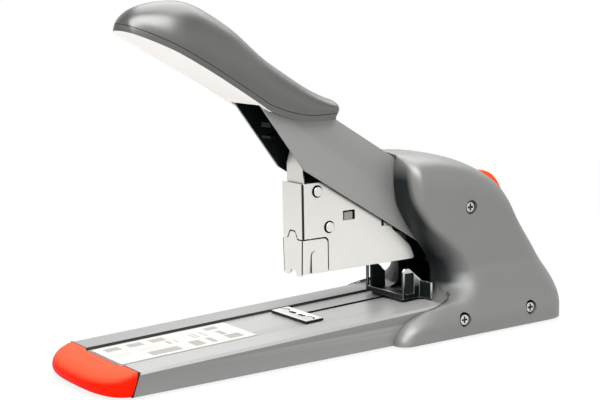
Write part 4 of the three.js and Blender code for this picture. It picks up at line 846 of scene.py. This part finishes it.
# %% Shape of the grip
HANDLE_GRID = (44, 120)
HANDLE_EDGE_POINTS = 241
HANDLE_FOOT_POINTS = 60
HANDLE_NOSE_MM = 15
HANDLE_REAR_MM = 128.5
HANDLE_LOW_MM = 113.2
HANDLE_HIGH_MM = 172.8
HANDLE_HALF_WIDTH_MM = 18.3
HANDLE_WAIST_HALF_MM = 15.8
HANDLE_WAIST_MM = (38, 90)
HANDLE_CROWN_MM = 24
HANDLE_CROWN_SHARE = 0.85
HANDLE_CROWN_LOSS = 0.24
HANDLE_CROWN_LOSS_MM = (48, 72)
HANDLE_CROWN_LEAST_MM = 2
HANDLE_CROWN_POWER = 2.15
NOSE_FRONT_HALF_MM = 8.9
NOSE_LENGTH_MM = 26
NOSE_TIP_MM = 12.8
NOSE_ROUND_MM = 3.4
NOSE_ROUND_POWER = 2.2
NOSE_MOST = 1.1
NOSE_CROWDING = 1.6
BAND_MM = 3
ARM_HALF_WIDTH_MM = 12.5
ARM_FRONT_MM = (47.7, 143.9)
ARM_CHIN_MM = (79.7, 126.3)
FLOOR_LIGHT_REAR_M = -0.036
HANDLE_TOP_SHARES = [
    (-0.0194, 0.845), (0.018, 0.912), (0.06, 0.955), (0.128, 0.988), (0.194, 1), (0.252, 0.997),
    (0.308, 0.968), (0.361, 0.922), (0.432, 0.842), (0.511, 0.738), (0.635, 0.538), (0.74, 0.403),
    (0.85, 0.27), (0.925, 0.198), (0.985, 0.148), (1, 0.075), (0.985, 0),
]
HANDLE_BOTTOM_SHARES = [
    (-0.0194, 0.783), (0.057, 0.719), (0.15, 0.632), (0.238, 0.539), (0.333, 0.436), (0.461, 0.289),
    (0.563, 0.168), (0.604, 0.117), (0.663, 0.07), (0.741, 0.023), (0.819, -0.003), (0.905, -0.005),
    (0.985, 0),
]
handle_low, handle_high = (HANDLE_NOSE_MM, HANDLE_LOW_MM), (HANDLE_REAR_MM, HANDLE_HIGH_MM)


def handle_half_width(y):
    nose = numpy.clip(1 - (y - HANDLE_NOSE_MM) / NOSE_LENGTH_MM, 0, NOSE_MOST)
    waist = ease(y, *HANDLE_WAIST_MM)
    half = HANDLE_HALF_WIDTH_MM + (HANDLE_WAIST_HALF_MM - HANDLE_HALF_WIDTH_MM) * waist
    half -= (HANDLE_HALF_WIDTH_MM - NOSE_FRONT_HALF_MM) * nose ** 2
    return half * swell(y - NOSE_TIP_MM, NOSE_ROUND_MM, NOSE_ROUND_POWER)


def handle_solid(columns, rows):
    top = curve_through(HANDLE_TOP_SHARES, handle_low, handle_high, rows, NOSE_CROWDING)
    bottom = curve_through(HANDLE_BOTTOM_SHARES, handle_low, handle_high, rows, NOSE_CROWDING)
    points = between(bottom, top, columns)
    ahead = top[:numpy.argmax(top[:, 0]) + 1]
    y = points[..., 0]
    height = numpy.interp(y, *ahead.T) - numpy.interp(y, *bottom.T)
    share = HANDLE_CROWN_SHARE - HANDLE_CROWN_LOSS * ease(y, *HANDLE_CROWN_LOSS_MM)
    reach = numpy.clip(height * share, HANDLE_CROWN_LEAST_MM, HANDLE_CROWN_MM)
    edge = curve_through(HANDLE_TOP_SHARES, handle_low, handle_high, HANDLE_EDGE_POINTS, NOSE_CROWDING)
    x = handle_half_width(y) * swell(distance_to(points, edge), reach, HANDLE_CROWN_POWER)
    x[-1] = 0
    return close_sheet(sheet(x, points))


print("half width of the waist in mm:", round(float(handle_half_width(HANDLE_WAIST_MM[1])), 2))

# %% [markdown]
# A groove parts the upper moulding from the band below it, and the band frames the underside, whose
# downward faces get a pale colour, painted light from the white table below. Both are cut from the
# same solid, so their sides always line up.


# %% Mouldings of the grip
def below_grip(rise):
    lower = curve_through(HANDLE_BOTTOM_SHARES, handle_low, handle_high, HANDLE_FOOT_POINTS)
    lower = lower + numpy.array([0, rise])
    return prism([
        (HANDLE_NOSE_MM - FAR_MM, lower[0, 1]), *lower, (HANDLE_REAR_MM + FAR_MM, lower[-1, 1]),
        (HANDLE_REAR_MM + FAR_MM, 0), (HANDLE_NOSE_MM - FAR_MM, 0),
    ], -FAR_MM, FAR_MM)


def arm_space():
    front, front_low = ARM_FRONT_MM
    chin, chin_low = ARM_CHIN_MM
    rear = HANDLE_REAR_MM + FAR_MM
    return prism([
        (front, front_low), (front, back_of_arm(front) + CLEARANCE_MM),
        (rear, back_of_arm(rear) + CLEARANCE_MM), (rear, 0), (chin, 0), (chin, chin_low),
    ], -ARM_HALF_WIDTH_MM - CLEARANCE_MM, ARM_HALF_WIDTH_MM + CLEARANCE_MM)


cover_mesh = combine(
    handle_solid(*HANDLE_GRID), ("DIFFERENCE", below_grip(BAND_MM + CLEARANCE_MM)),
    ("DIFFERENCE", arm_space()))
cover = make_object("handle_cover_moulding", cover_mesh, [grip_grey])
smooth(cover)
stands_for(cover, "handle_cover")

pan_mesh = combine(
    handle_solid(*HANDLE_GRID), ("INTERSECT", below_grip(BAND_MM)), ("DIFFERENCE", arm_space()))
pan_mesh.normal_update()
# Painted light: downward faces ahead of the rear get a pale colour for the table's bounce light.
for face in pan_mesh.faces:
    looks_down = face.normal.z < -0.3
    face.material_index = int(looks_down and face.calc_center_median().y < FLOOR_LIGHT_REAR_M)
pan = make_object("handle_pan_moulding", pan_mesh, [grip_grey, underside_floor_light])
smooth(pan)
stands_for(pan, "handle_pan")
print("grip faces:", len(cover.data.polygons), len(pan.data.polygons))

# %% [markdown]
# The orange cap closes the front of the base. Seen from above it is a superellipse, and it is
# lofted through levels that swell and then round over. The recess of the base runs on over it.

# %% Front cap
CAP_LENGTH_MM = 18
CAP_PLAN_POWER = 2.75
CAP_STEPS = 96
CAP_LEVELS = 30
CAP_LEVEL_SHARES = [
    (0, 0.85, 0.975), (0.12, 0.95, 0.995), (0.35, 1, 1), (0.6, 0.96, 1),
    (0.78, 0.86, 0.99), (0.9, 0.73, 0.975), (1, 0.5, 0.955),
]


def cap_solid():
    levels = curve_through(CAP_LEVEL_SHARES, (0, 0, 0), (1, 1, 1), CAP_LEVELS)
    angle = numpy.linspace(0, math.pi, CAP_STEPS + 1)
    plan_x = numpy.sign(numpy.cos(angle)) * abs(numpy.cos(angle)) ** (2 / CAP_PLAN_POWER)
    plan_y = abs(numpy.sin(angle)) ** (2 / CAP_PLAN_POWER)
    plan_x = numpy.concatenate([[1], plan_x, [-1, 1]])
    plan_y = numpy.concatenate([[-2], plan_y, [-2, -2]])
    up, forward, across = levels.T
    x = plan_x[:, None] * across * BASE_WIDTH_MM / 2
    y = -numpy.where(plan_y[:, None] < 0, plan_y[:, None], plan_y[:, None] * forward) * CAP_LENGTH_MM
    z = up * BASE_FRONT_HEIGHT_MM + BASE_SLOPE * numpy.minimum(y, 0) * up
    return close_ends(tidy(sheet(x, numpy.stack([y, z], axis=-1))))


SEAM_SETBACK_MM = 4.3
SEAM_LEAN = 4 / BASE_FRONT_HEIGHT_MM
RECESS_DEPTH_MM = 1
RECESS_FLOOR_HALF_MM = 17.7
RECESS_TOP_HALF_MM = 19.3
seam_low, seam_high = -BASE_FRONT_HEIGHT_MM, 2 * BASE_FRONT_HEIGHT_MM
behind_seam = prism([
    (SEAM_LEAN * seam_low - SEAM_SETBACK_MM, seam_low), (-SEAM_SETBACK_MM, 0),
    (SEAM_LEAN * seam_high - SEAM_SETBACK_MM, seam_high), (FAR_MM, seam_high), (FAR_MM, seam_low),
], -BASE_WIDTH_MM, BASE_WIDTH_MM)


def recess_solid():
    """The recess of the base's top, carried on over the cap."""
    floor = BASE_FRONT_HEIGHT_MM - RECESS_DEPTH_MM
    return prism_along_y([
        (-RECESS_FLOOR_HALF_MM, floor), (RECESS_FLOOR_HALF_MM, floor),
        (RECESS_TOP_HALF_MM, BASE_FRONT_HEIGHT_MM), (RECESS_TOP_HALF_MM, FAR_MM),
        (-RECESS_TOP_HALF_MM, FAR_MM), (-RECESS_TOP_HALF_MM, BASE_FRONT_HEIGHT_MM),
    ], -FAR_MM, FAR_MM)


cap_mesh = combine(cap_solid(), ("DIFFERENCE", behind_seam), ("DIFFERENCE", recess_solid()))
cap = make_object("front_cap_moulding", cap_mesh, [orange])
smooth(cap)
stands_for(cap, "front_cap")
print("cap faces:", len(cap.data.polygons))

# %% [markdown]
# A thin black strip stands in the seam behind the cap, painted shade for the dark gap there. It could
# be a dark line in the paint, but a slab that leans with the seam and stands a hair proud of the base
# has real edges from every side.

# %% Shade in the seam
SEAM_SHADE_WIDTH_MM = 0.7
SEAM_SHADE_PROUD_MM = 0.04
SEAM_SHADE_TOP_MM = -0.35
seam_shade_height = top_of_base(0) + SEAM_SHADE_PROUD_MM
# A black strip of painted shade for the seam's gap.
seam = prism([
    (-SEAM_SETBACK_MM, 0), (SEAM_SHADE_WIDTH_MM - SEAM_SETBACK_MM, 0),
    (SEAM_SHADE_TOP_MM + SEAM_SHADE_WIDTH_MM, seam_shade_height), (SEAM_SHADE_TOP_MM, seam_shade_height),
], -BASE_WIDTH_MM / 2 - SEAM_SHADE_PROUD_MM, BASE_WIDTH_MM / 2 + SEAM_SHADE_PROUD_MM)
seam_shade_strip = make_object("cap_seam_shade", combine(seam, ("DIFFERENCE", recess_solid())), [black_plastic])
smooth(seam_shade_strip)
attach(seam_shade_strip, "base")
print("gasket faces:", len(seam_shade_strip.data.polygons))

# %% [markdown]
# The base is cut along the slide of the paper stop, and the anvil has two curved grooves that turn
# the staple's legs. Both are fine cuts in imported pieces, so they are made in the rounded copies.

# %% Slide and grooves
SLIDE_MM = (-4.8, -1.4)
SLIDE_FROM_MM = 113
SLIDE_TO_MM = 182
SLIDE_DEPTH_MM = 0.6
BOWS_MM = [
    (-11.4, 107.6, 2.9, 0.15, 0.95), (10.8, 107.4, 2.9, 0.05, 0.9),
]
BOW_WIDTH_MM = 0.8
BOW_DEPTH_MM = 0.8
CUT_HEIGHT_MM = 3
ARCH_POINTS = 17

slide = prism([
    (y, top_of_base(y) - RECESS_DEPTH_MM + rise)
    for y, rise in ((SLIDE_FROM_MM, -SLIDE_DEPTH_MM), (SLIDE_TO_MM, -SLIDE_DEPTH_MM),
                    (SLIDE_TO_MM, CUT_HEIGHT_MM), (SLIDE_FROM_MM, CUT_HEIGHT_MM))
], *SLIDE_MM)


def bow(x, y, radius, first, last):
    """A curved groove seen from above. It runs over part of a half circle."""
    turns = numpy.linspace(first * math.pi, last * math.pi, ARCH_POINTS)
    outer = [(x + (radius + BOW_WIDTH_MM) * math.cos(turn), y + radius * math.sin(turn))
             for turn in turns]
    inner = [(x + radius * math.cos(turn), y + (radius - BOW_WIDTH_MM) * math.sin(turn))
             for turn in turns]
    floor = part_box("anvil_plate")[1][2] / MM - MACHINE_Z_MM - BOW_DEPTH_MM
    return pushed([placed(x, y, floor) for x, y in outer + inner[::-1]], (0, 0, CUT_HEIGHT_MM))


print("length of the slide in mm:", SLIDE_TO_MM - SLIDE_FROM_MM)

# %% [markdown]
# Some pieces carry two or three finishes: the lever is black inside, the stop is black with bright
# cut edges, and the rivets are bright only on their heads, with painted shade on their sides. The
# anvil's sides and the floors of some of its grooves, and the front plate's side edges, also get
# painted shade as black. Splitting them would add seams, so a small function looks at each face's
# direction and place and gives the number of its material.

# %% Faces with a finish of their own
LEVER_INNER_HALF_MM = 11.1
SLIDE_FACE_MM2 = 400
SLIDE_FACE_REAR_M = 0.08
FAR_WALL_MM = (-25, 0)
STOP_SHEET_MM = 1.3
STOP_EDGE_FROM_MM = -10
EAR_HALF_MM = 16.5
ANVIL_GROOVE_MM = 0.55
ANVIL_BRIGHT_HALF_MM = 9
CROSS_RADIUS_MM = 2
CROSS_DEPTH_MM = 1


def centre_mm(face):
    """The middle of a face in millimetres, inside the machine."""
    x, y, z = face.calc_center_median() / MM
    return x, y - MACHINE_Y_MM, z - MACHINE_Z_MM


def sideways(face):
    return abs(face.normal.x) > 0.9


def edgewise(face):
    return abs(face.normal.x) < 0.5


def inside_lever(face):
    return int(abs(centre_mm(face)[0]) < LEVER_INNER_HALF_MM and face.normal.z < 0.3)


def base_face(face):
    """1 for the shaded wall and groove of the recess, 2 for the outer walls in painted shade and 0
    elsewhere.
    """
    x = centre_mm(face)[0]
    small = face.calc_area() < SLIDE_FACE_MM2 * MM * MM
    in_slide = SLIDE_MM[0] - 0.2 < x < SLIDE_MM[1] + 0.2 and small
    far_wall = 0.3 < abs(face.normal.x) < 0.8 and FAR_WALL_MM[0] < x < FAR_WALL_MM[1]
    if far_wall and face.normal.z > 0.3:
        return 1
    if in_slide and face.calc_center_median().y < SLIDE_FACE_REAR_M:
        return 1
    return 2 * int(sideways(face) and abs(x) > BASE_WIDTH_MM / 2 - 0.1)


# Painted shade: the front plate's side edges are black, for the dark line of the seam.
def plate_edge_shade(face):
    return int(sideways(face))


def stop_face(face):
    """1 for the bright cut edges, 2 for the outer sides of the two ears, which get painted shade low
    down, and 0 elsewhere.
    """
    x = centre_mm(face)[0]
    width = face.calc_area() / max(edge.calc_length() for edge in face.edges)
    if width < STOP_SHEET_MM * MM and face.normal.z > -0.5 and x > STOP_EDGE_FROM_MM:
        return 1
    return 2 * int(face.normal.x * x > 0 and sideways(face) and abs(x) < EAR_HALF_MM)


# Painted shade: the anvil's sides, its groove walls and the floors of the grooves left of the middle
# and far out are black.
def anvil_shade_face(face):
    x = centre_mm(face)[0]
    deep = face.calc_center_median().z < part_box("anvil_plate")[1][2] - ANVIL_GROOVE_MM * MM
    return int(face.normal.z < 0.5 or deep and (x < 0 or abs(x) > ANVIL_BRIGHT_HALF_MM))


def cross_recess(face):
    x, y, z = centre_mm(face)
    away, half = min((math.hypot(y - place[0], z - place[1]), housing_half_width(place[1]))
                     for place in SCREW_PLACES_MM)
    wall = edgewise(face) and away < CROSS_RADIUS_MM
    return int(wall or abs(x) < half - COUNTERBORE_DEPTH_MM + CROSS_DEPTH_MM)


# Painted shade: the rivets' sides are black, for the dark gap round each head.
def rivet_shank_shade(face):
    return int(edgewise(face))


# %% [markdown]
# The sheet parts, the button and the screws are rounded copies with a bevel of their own. Thick
# painted sheet is rounder than thin plated sheet, and a moulded button is rounder than both.

# %% Sheet metal and small parts
rounded_copy("arm_channel", [lever_grey, lever_inside_black], 0.25, inside_lever)
rounded_copy("base_channel", [base_silver, recess_shade, wall_silver_shaded], 0.35, base_face,
             segments=3, angle=math.radians(15), cuts=[slide])
rounded_copy("anvil_plate", [nickel, black_steel], 0.1, anvil_shade_face,
             cuts=[bow(*place) for place in BOWS_MM])
rounded_copy("head_front_plate", [nickel, black_steel], 0.15, plate_edge_shade)
stop = rounded_copy("stop_plate", [black_steel, steel, ear_steel], 0.2, stop_face)
stop.modifiers["rounded edges"].material = 1
rounded_copy("driver_pin", [black_steel], 0.2)
rounded_copy("release_button", [button_orange], 0.9, segments=4)
rounded_copy("driver_blade", [driver_nickel], 0.1)
for name in ("head_pin_upper", "head_pin_lower"):
    rounded_copy(name, [nickel, black_steel], 0.5, rivet_shank_shade, segments=3)
for name in nodes:
    if name.startswith("housing_screw"):
        rounded_copy(name, [screw_chrome, screw_shade], 0.2, cross_recess)
print("bright faces of the stop:", sum(face.material_index == 1 for face in stop.data.polygons))

# %% [markdown]
# The nose casing is folded from one sheet. Each of its sides has a raised, round-topped rib that
# guides the staples, with painted shade on the rib's sides. Its front corners show as fine dark lines,
# thin black rods of painted shade at the bends. Both are too fine for the packed model, so they are
# small solids that move with the rail.

# %% Ribs and corners of the nose casing
NOSE_SIDE_MM = 8.5
NOSE_FRONT_MM = 106
NOSE_FOOT_MM = 36.2
RIB_Y_MM = (111.4, 115.6)
RIB_TOP_MM = 45.3
RIB_PROUD_MM = 0.25
RIB_SUNK_MM = 0.4
RIB_LIFT_MM = 0.3
CORNER_TOP_MM = 53.3
CORNER_TAPER_MM = 0.65
CORNER_RADIUS_MM = 0.32
CORNER_INSET_MM = 0.12
CORNER_SIDES = 12


def rib(sign):
    low, high = RIB_Y_MM
    radius = (high - low) / 2
    arch = [(low + radius + radius * math.cos(turn), RIB_TOP_MM + radius * math.sin(turn))
            for turn in numpy.linspace(0, math.pi, ARCH_POINTS)]
    outline = [(low, NOSE_FOOT_MM + RIB_LIFT_MM), (high, NOSE_FOOT_MM + RIB_LIFT_MM), *arch]
    return prism(outline, *sorted((
        sign * (NOSE_SIDE_MM - RIB_SUNK_MM), sign * (NOSE_SIDE_MM + RIB_PROUD_MM))))


def corner_shade_line(sign):
    mesh = bmesh.new()
    bmesh.ops.create_cone(
        mesh, cap_ends=True, segments=CORNER_SIDES, radius1=CORNER_RADIUS_MM * MM,
        radius2=CORNER_RADIUS_MM * MM, depth=(CORNER_TOP_MM - NOSE_FOOT_MM) * MM)
    bmesh.ops.translate(mesh, verts=mesh.verts, vec=placed(
        sign * (NOSE_SIDE_MM - CORNER_INSET_MM), NOSE_FRONT_MM + CORNER_INSET_MM,
        (CORNER_TOP_MM + NOSE_FOOT_MM) / 2))
    top = placed(0, 0, CORNER_TOP_MM).z
    for corner in mesh.verts:
        share = (top - corner.co.z) / ((CORNER_TOP_MM - NOSE_FOOT_MM) * MM)
        corner.co.x -= sign * share * CORNER_TAPER_MM * MM
    return mesh


for side, sign in (("right", 1), ("left", -1)):
    for name, mesh, finish in (("rib", rib(sign), nickel), ("corner", corner_shade_line(sign), black_steel)):
        for face in mesh.faces:
            # Painted shade: the ribs' sides and the corner rods are black.
            face.material_index = int(name == "rib" and edgewise(face))
        piece = make_object(f"nose_{name}_{side}", mesh, [finish, black_steel])
        smooth(piece)
        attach(piece, "rail")
        print(piece.name, "faces:", len(piece.data.polygons))

# %% [markdown]
# A grey lug of the head's inner frame stands in the port of each side plate, and a small tab is bent
# up in the notch at the plate's rear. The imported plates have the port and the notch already, so plain
# boxes are enough here.

# %% Small forms of the side plates
SIDE_PLATE_MM = (7.3, 8.5)
LUG_MM = (132.2, 137.3, 61.22, 65.1)
LUG_DEPTH_MM = 1.2
LUG_INSET_MM = 0.6
TAB_MM = (157, 162, 55.6, 58.4)
TAB_INSET_MM = 0.25


def upright_box(bounds, near_x, far_x, sign):
    front, rear, bottom, top = bounds
    outline = [(front, bottom), (rear, bottom), (rear, top), (front, top)]
    return prism(outline, *sorted((sign * near_x, sign * far_x)))


inner_side, outer_side = SIDE_PLATE_MM
for side, sign in (("right", 1), ("left", -1)):
    lug = upright_box(LUG_MM, inner_side - LUG_DEPTH_MM, outer_side - LUG_INSET_MM, sign)
    tab = upright_box(TAB_MM, inner_side, outer_side - TAB_INSET_MM, sign)
    for name, mesh, finish in (("lug", lug, lug_grey), ("tab", tab, nickel)):
        piece = make_object(f"side_{name}_{side}", mesh, [finish])
        smooth(piece)
        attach(piece, "magazine")
        print(piece.name, "faces:", len(piece.data.polygons))

# %% [markdown]
# The return spring is a coil of round wire. It stands on the base under the carrier bridge and is
# squeezed as the lever presses the magazine down. The imported model has a plain sleeve in its place. A
# grid wrapped round a helix makes the coil, and it moves with the body of the sleeve that it stands
# for.

# %% Return spring
COIL_TURNS = 5
COIL_WIRE_RADIUS_MM = 0.6
COIL_STEPS = 32
COIL_SIDES = 12


def coil(name):
    """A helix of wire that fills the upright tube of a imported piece."""
    low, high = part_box(name)
    rows = COIL_TURNS * COIL_STEPS + 1
    around = numpy.linspace(0, 2 * math.pi, COIL_SIDES + 1)[:, None]
    turn = numpy.linspace(0, 2 * math.pi * COIL_TURNS, rows)[None]
    reach = (high[0] - low[0]) / 2 / MM - COIL_WIRE_RADIUS_MM + COIL_WIRE_RADIUS_MM * numpy.cos(around)
    bottom, top = low[2] / MM - MACHINE_Z_MM, high[2] / MM - MACHINE_Z_MM
    rise = numpy.linspace(bottom + COIL_WIRE_RADIUS_MM, top - COIL_WIRE_RADIUS_MM, rows)[None]
    y = (low[1] + high[1]) / 2 / MM - MACHINE_Y_MM + reach * numpy.sin(turn)
    z = rise + COIL_WIRE_RADIUS_MM * numpy.sin(around)
    return close_ends(tidy(sheet(reach * numpy.cos(turn), numpy.stack([y, z], axis=-1))))


spring = make_object("return_spring_coil", coil("return_spring"), [steel])
smooth(spring)
stands_for(spring, "return_spring")
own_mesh(spring)
print("coil faces:", len(spring.data.polygons))

# %% [markdown]
# Every piece that has no form of its own yet is a rounded copy in the finish of its slot. The two
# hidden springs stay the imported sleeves.

# %% Finishes of the other pieces
FINISH_OF_SLOT = {
    "base": base_silver, "orange": orange, "label": label_film, "black": black_plastic,
    "rubber": rubber, "plating": nickel, "steel": steel, "dark_steel": black_steel,
    "painted": lever_grey, "shell": housing_grey, "pale": underside_floor_light, "screw": screw_chrome,
}
WIDTH_MM_OF_NODE = {"instruction_plate": 0.1, "nose_casing": 0.3}
KEPT_NODES = ["pusher_spring", "latch_spring"]
dressed = {node for piece in bpy.data.objects for node in piece.get("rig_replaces", [])}
for name, piece in nodes.items():
    finish = FINISH_OF_SLOT[slot_of_node[name]]
    if name in KEPT_NODES:
        piece.data.materials.clear()
        piece.data.materials.append(finish)
    elif name not in dressed:
        rounded_copy(name, [finish], WIDTH_MM_OF_NODE.get(name, 0.18))
print("pieces finished here:", len(nodes) - len(dressed) - len(KEPT_NODES))

# %% [markdown]
# The studio is a white table. The camera sees it glow nearly white, so that only the stapler's
# shadow stands out, and reflections see it out to where a real table would end.

# %% Table
PAPER = (0.62, 0.62, 0.62)
TABLE_HALF_M = 20
TABLE_GLOW = 0.86
TABLE_WHITE_M = (0.3, 0.75)
TABLE_END_M = (0.8, 1.6)


def table_material():
    material = bpy.data.materials.new("white_table")
    material.use_nodes = True
    material.node_tree.nodes.clear()
    graph = Graph(material.node_tree)
    place = graph.node("ShaderNodeTexCoord", output="Object")
    distance = graph.node("ShaderNodeVectorMath", {0: place}, output="Value", operation="LENGTH")
    for_camera = graph.node("ShaderNodeLightPath", output="Is Camera Ray")
    for_mirror = graph.node("ShaderNodeLightPath", output="Is Glossy Ray")
    seen = for_camera * (TABLE_GLOW + distance.ramp(*TABLE_WHITE_M) * (1 - TABLE_GLOW))
    mirrored = for_mirror * TABLE_GLOW * (1 - distance.ramp(*TABLE_END_M))
    paper = graph.node("ShaderNodeBsdfDiffuse", {"Color": PAPER})
    surface = graph.node("ShaderNodeMixShader", {
        0: seen.most(mirrored), 1: paper, 2: graph.node("ShaderNodeEmission")})
    graph.node("ShaderNodeOutputMaterial", {"Surface": surface})
    return material


table_mesh = bmesh.new()
bmesh.ops.create_grid(table_mesh, x_segments=1, y_segments=1, size=TABLE_HALF_M)
table = make_object("table", table_mesh, [table_material()])
print("half width of the table in m:", TABLE_HALF_M)

# %% [markdown]
# Around the table stands a white wall that ends some way up. The camera sees bare white behind the
# stapler, and reflections see the wall and the dark above it, which is what draws the soft bands
# along the paint. The world lights the stapler only with a faint glow from all round.

# %% World
SKY_WHITE = 1.0
SKY_WHITE_BELOW = 0.32
SKY_DARK_ABOVE = 0.62
SKY_DARK = 0.2
AMBIENT = 0.15

world = bpy.data.worlds.new("studio")
bpy.context.scene.world = world
world.use_nodes = True
sky = Graph(world.node_tree)
background = sky.tree.nodes["Background"]
seen_directly = sky.node("ShaderNodeLightPath", output="Is Camera Ray")
mirrored = sky.node("ShaderNodeLightPath", output="Is Glossy Ray")
height = sky.axis(sky.node("ShaderNodeTexCoord", output="Generated"), 2)
pale = height.ramp(SKY_DARK_ABOVE, SKY_WHITE_BELOW)
reflected = (SKY_DARK + pale * (SKY_WHITE - SKY_DARK) - AMBIENT) * mirrored
sky.plug(background.inputs["Strength"], (AMBIENT + reflected).most(seen_directly))
sky.plug(background.inputs["Color"], (1, 1, 1))
print("nodes in the world:", len(world.node_tree.nodes))

# %% [markdown]
# Two broad lamps light the stapler from above, one from behind it and a stronger one from the
# camera's side. Small lamps would draw hard spots on the plating, and the photograph has none.


# %% Lamps
def lamp(name, place, aim, width, height, watts):
    data = bpy.data.lights.new(name, "AREA")
    data.shape = "RECTANGLE"
    data.size = width
    data.size_y = height
    data.energy = watts
    light = bpy.data.objects.new(name, data)
    place = Vector(place)
    facing = (Vector(aim) - place).to_track_quat("-Z", "Y").to_matrix().to_4x4()
    light.matrix_world = Matrix.Translation(place) @ facing
    bpy.context.scene.collection.objects.link(light)


lamp("overhead", (-0.4, 0.4, 1.0), (0, 0, 0.05), 1.1, 1.1, 13.5)
lamp("key", (0.5, -0.36, 1.0), (0, 0, 0.06), 1.4, 0.85, 25.0)
print("watts of the lamps:", [light.energy for light in bpy.data.lights])
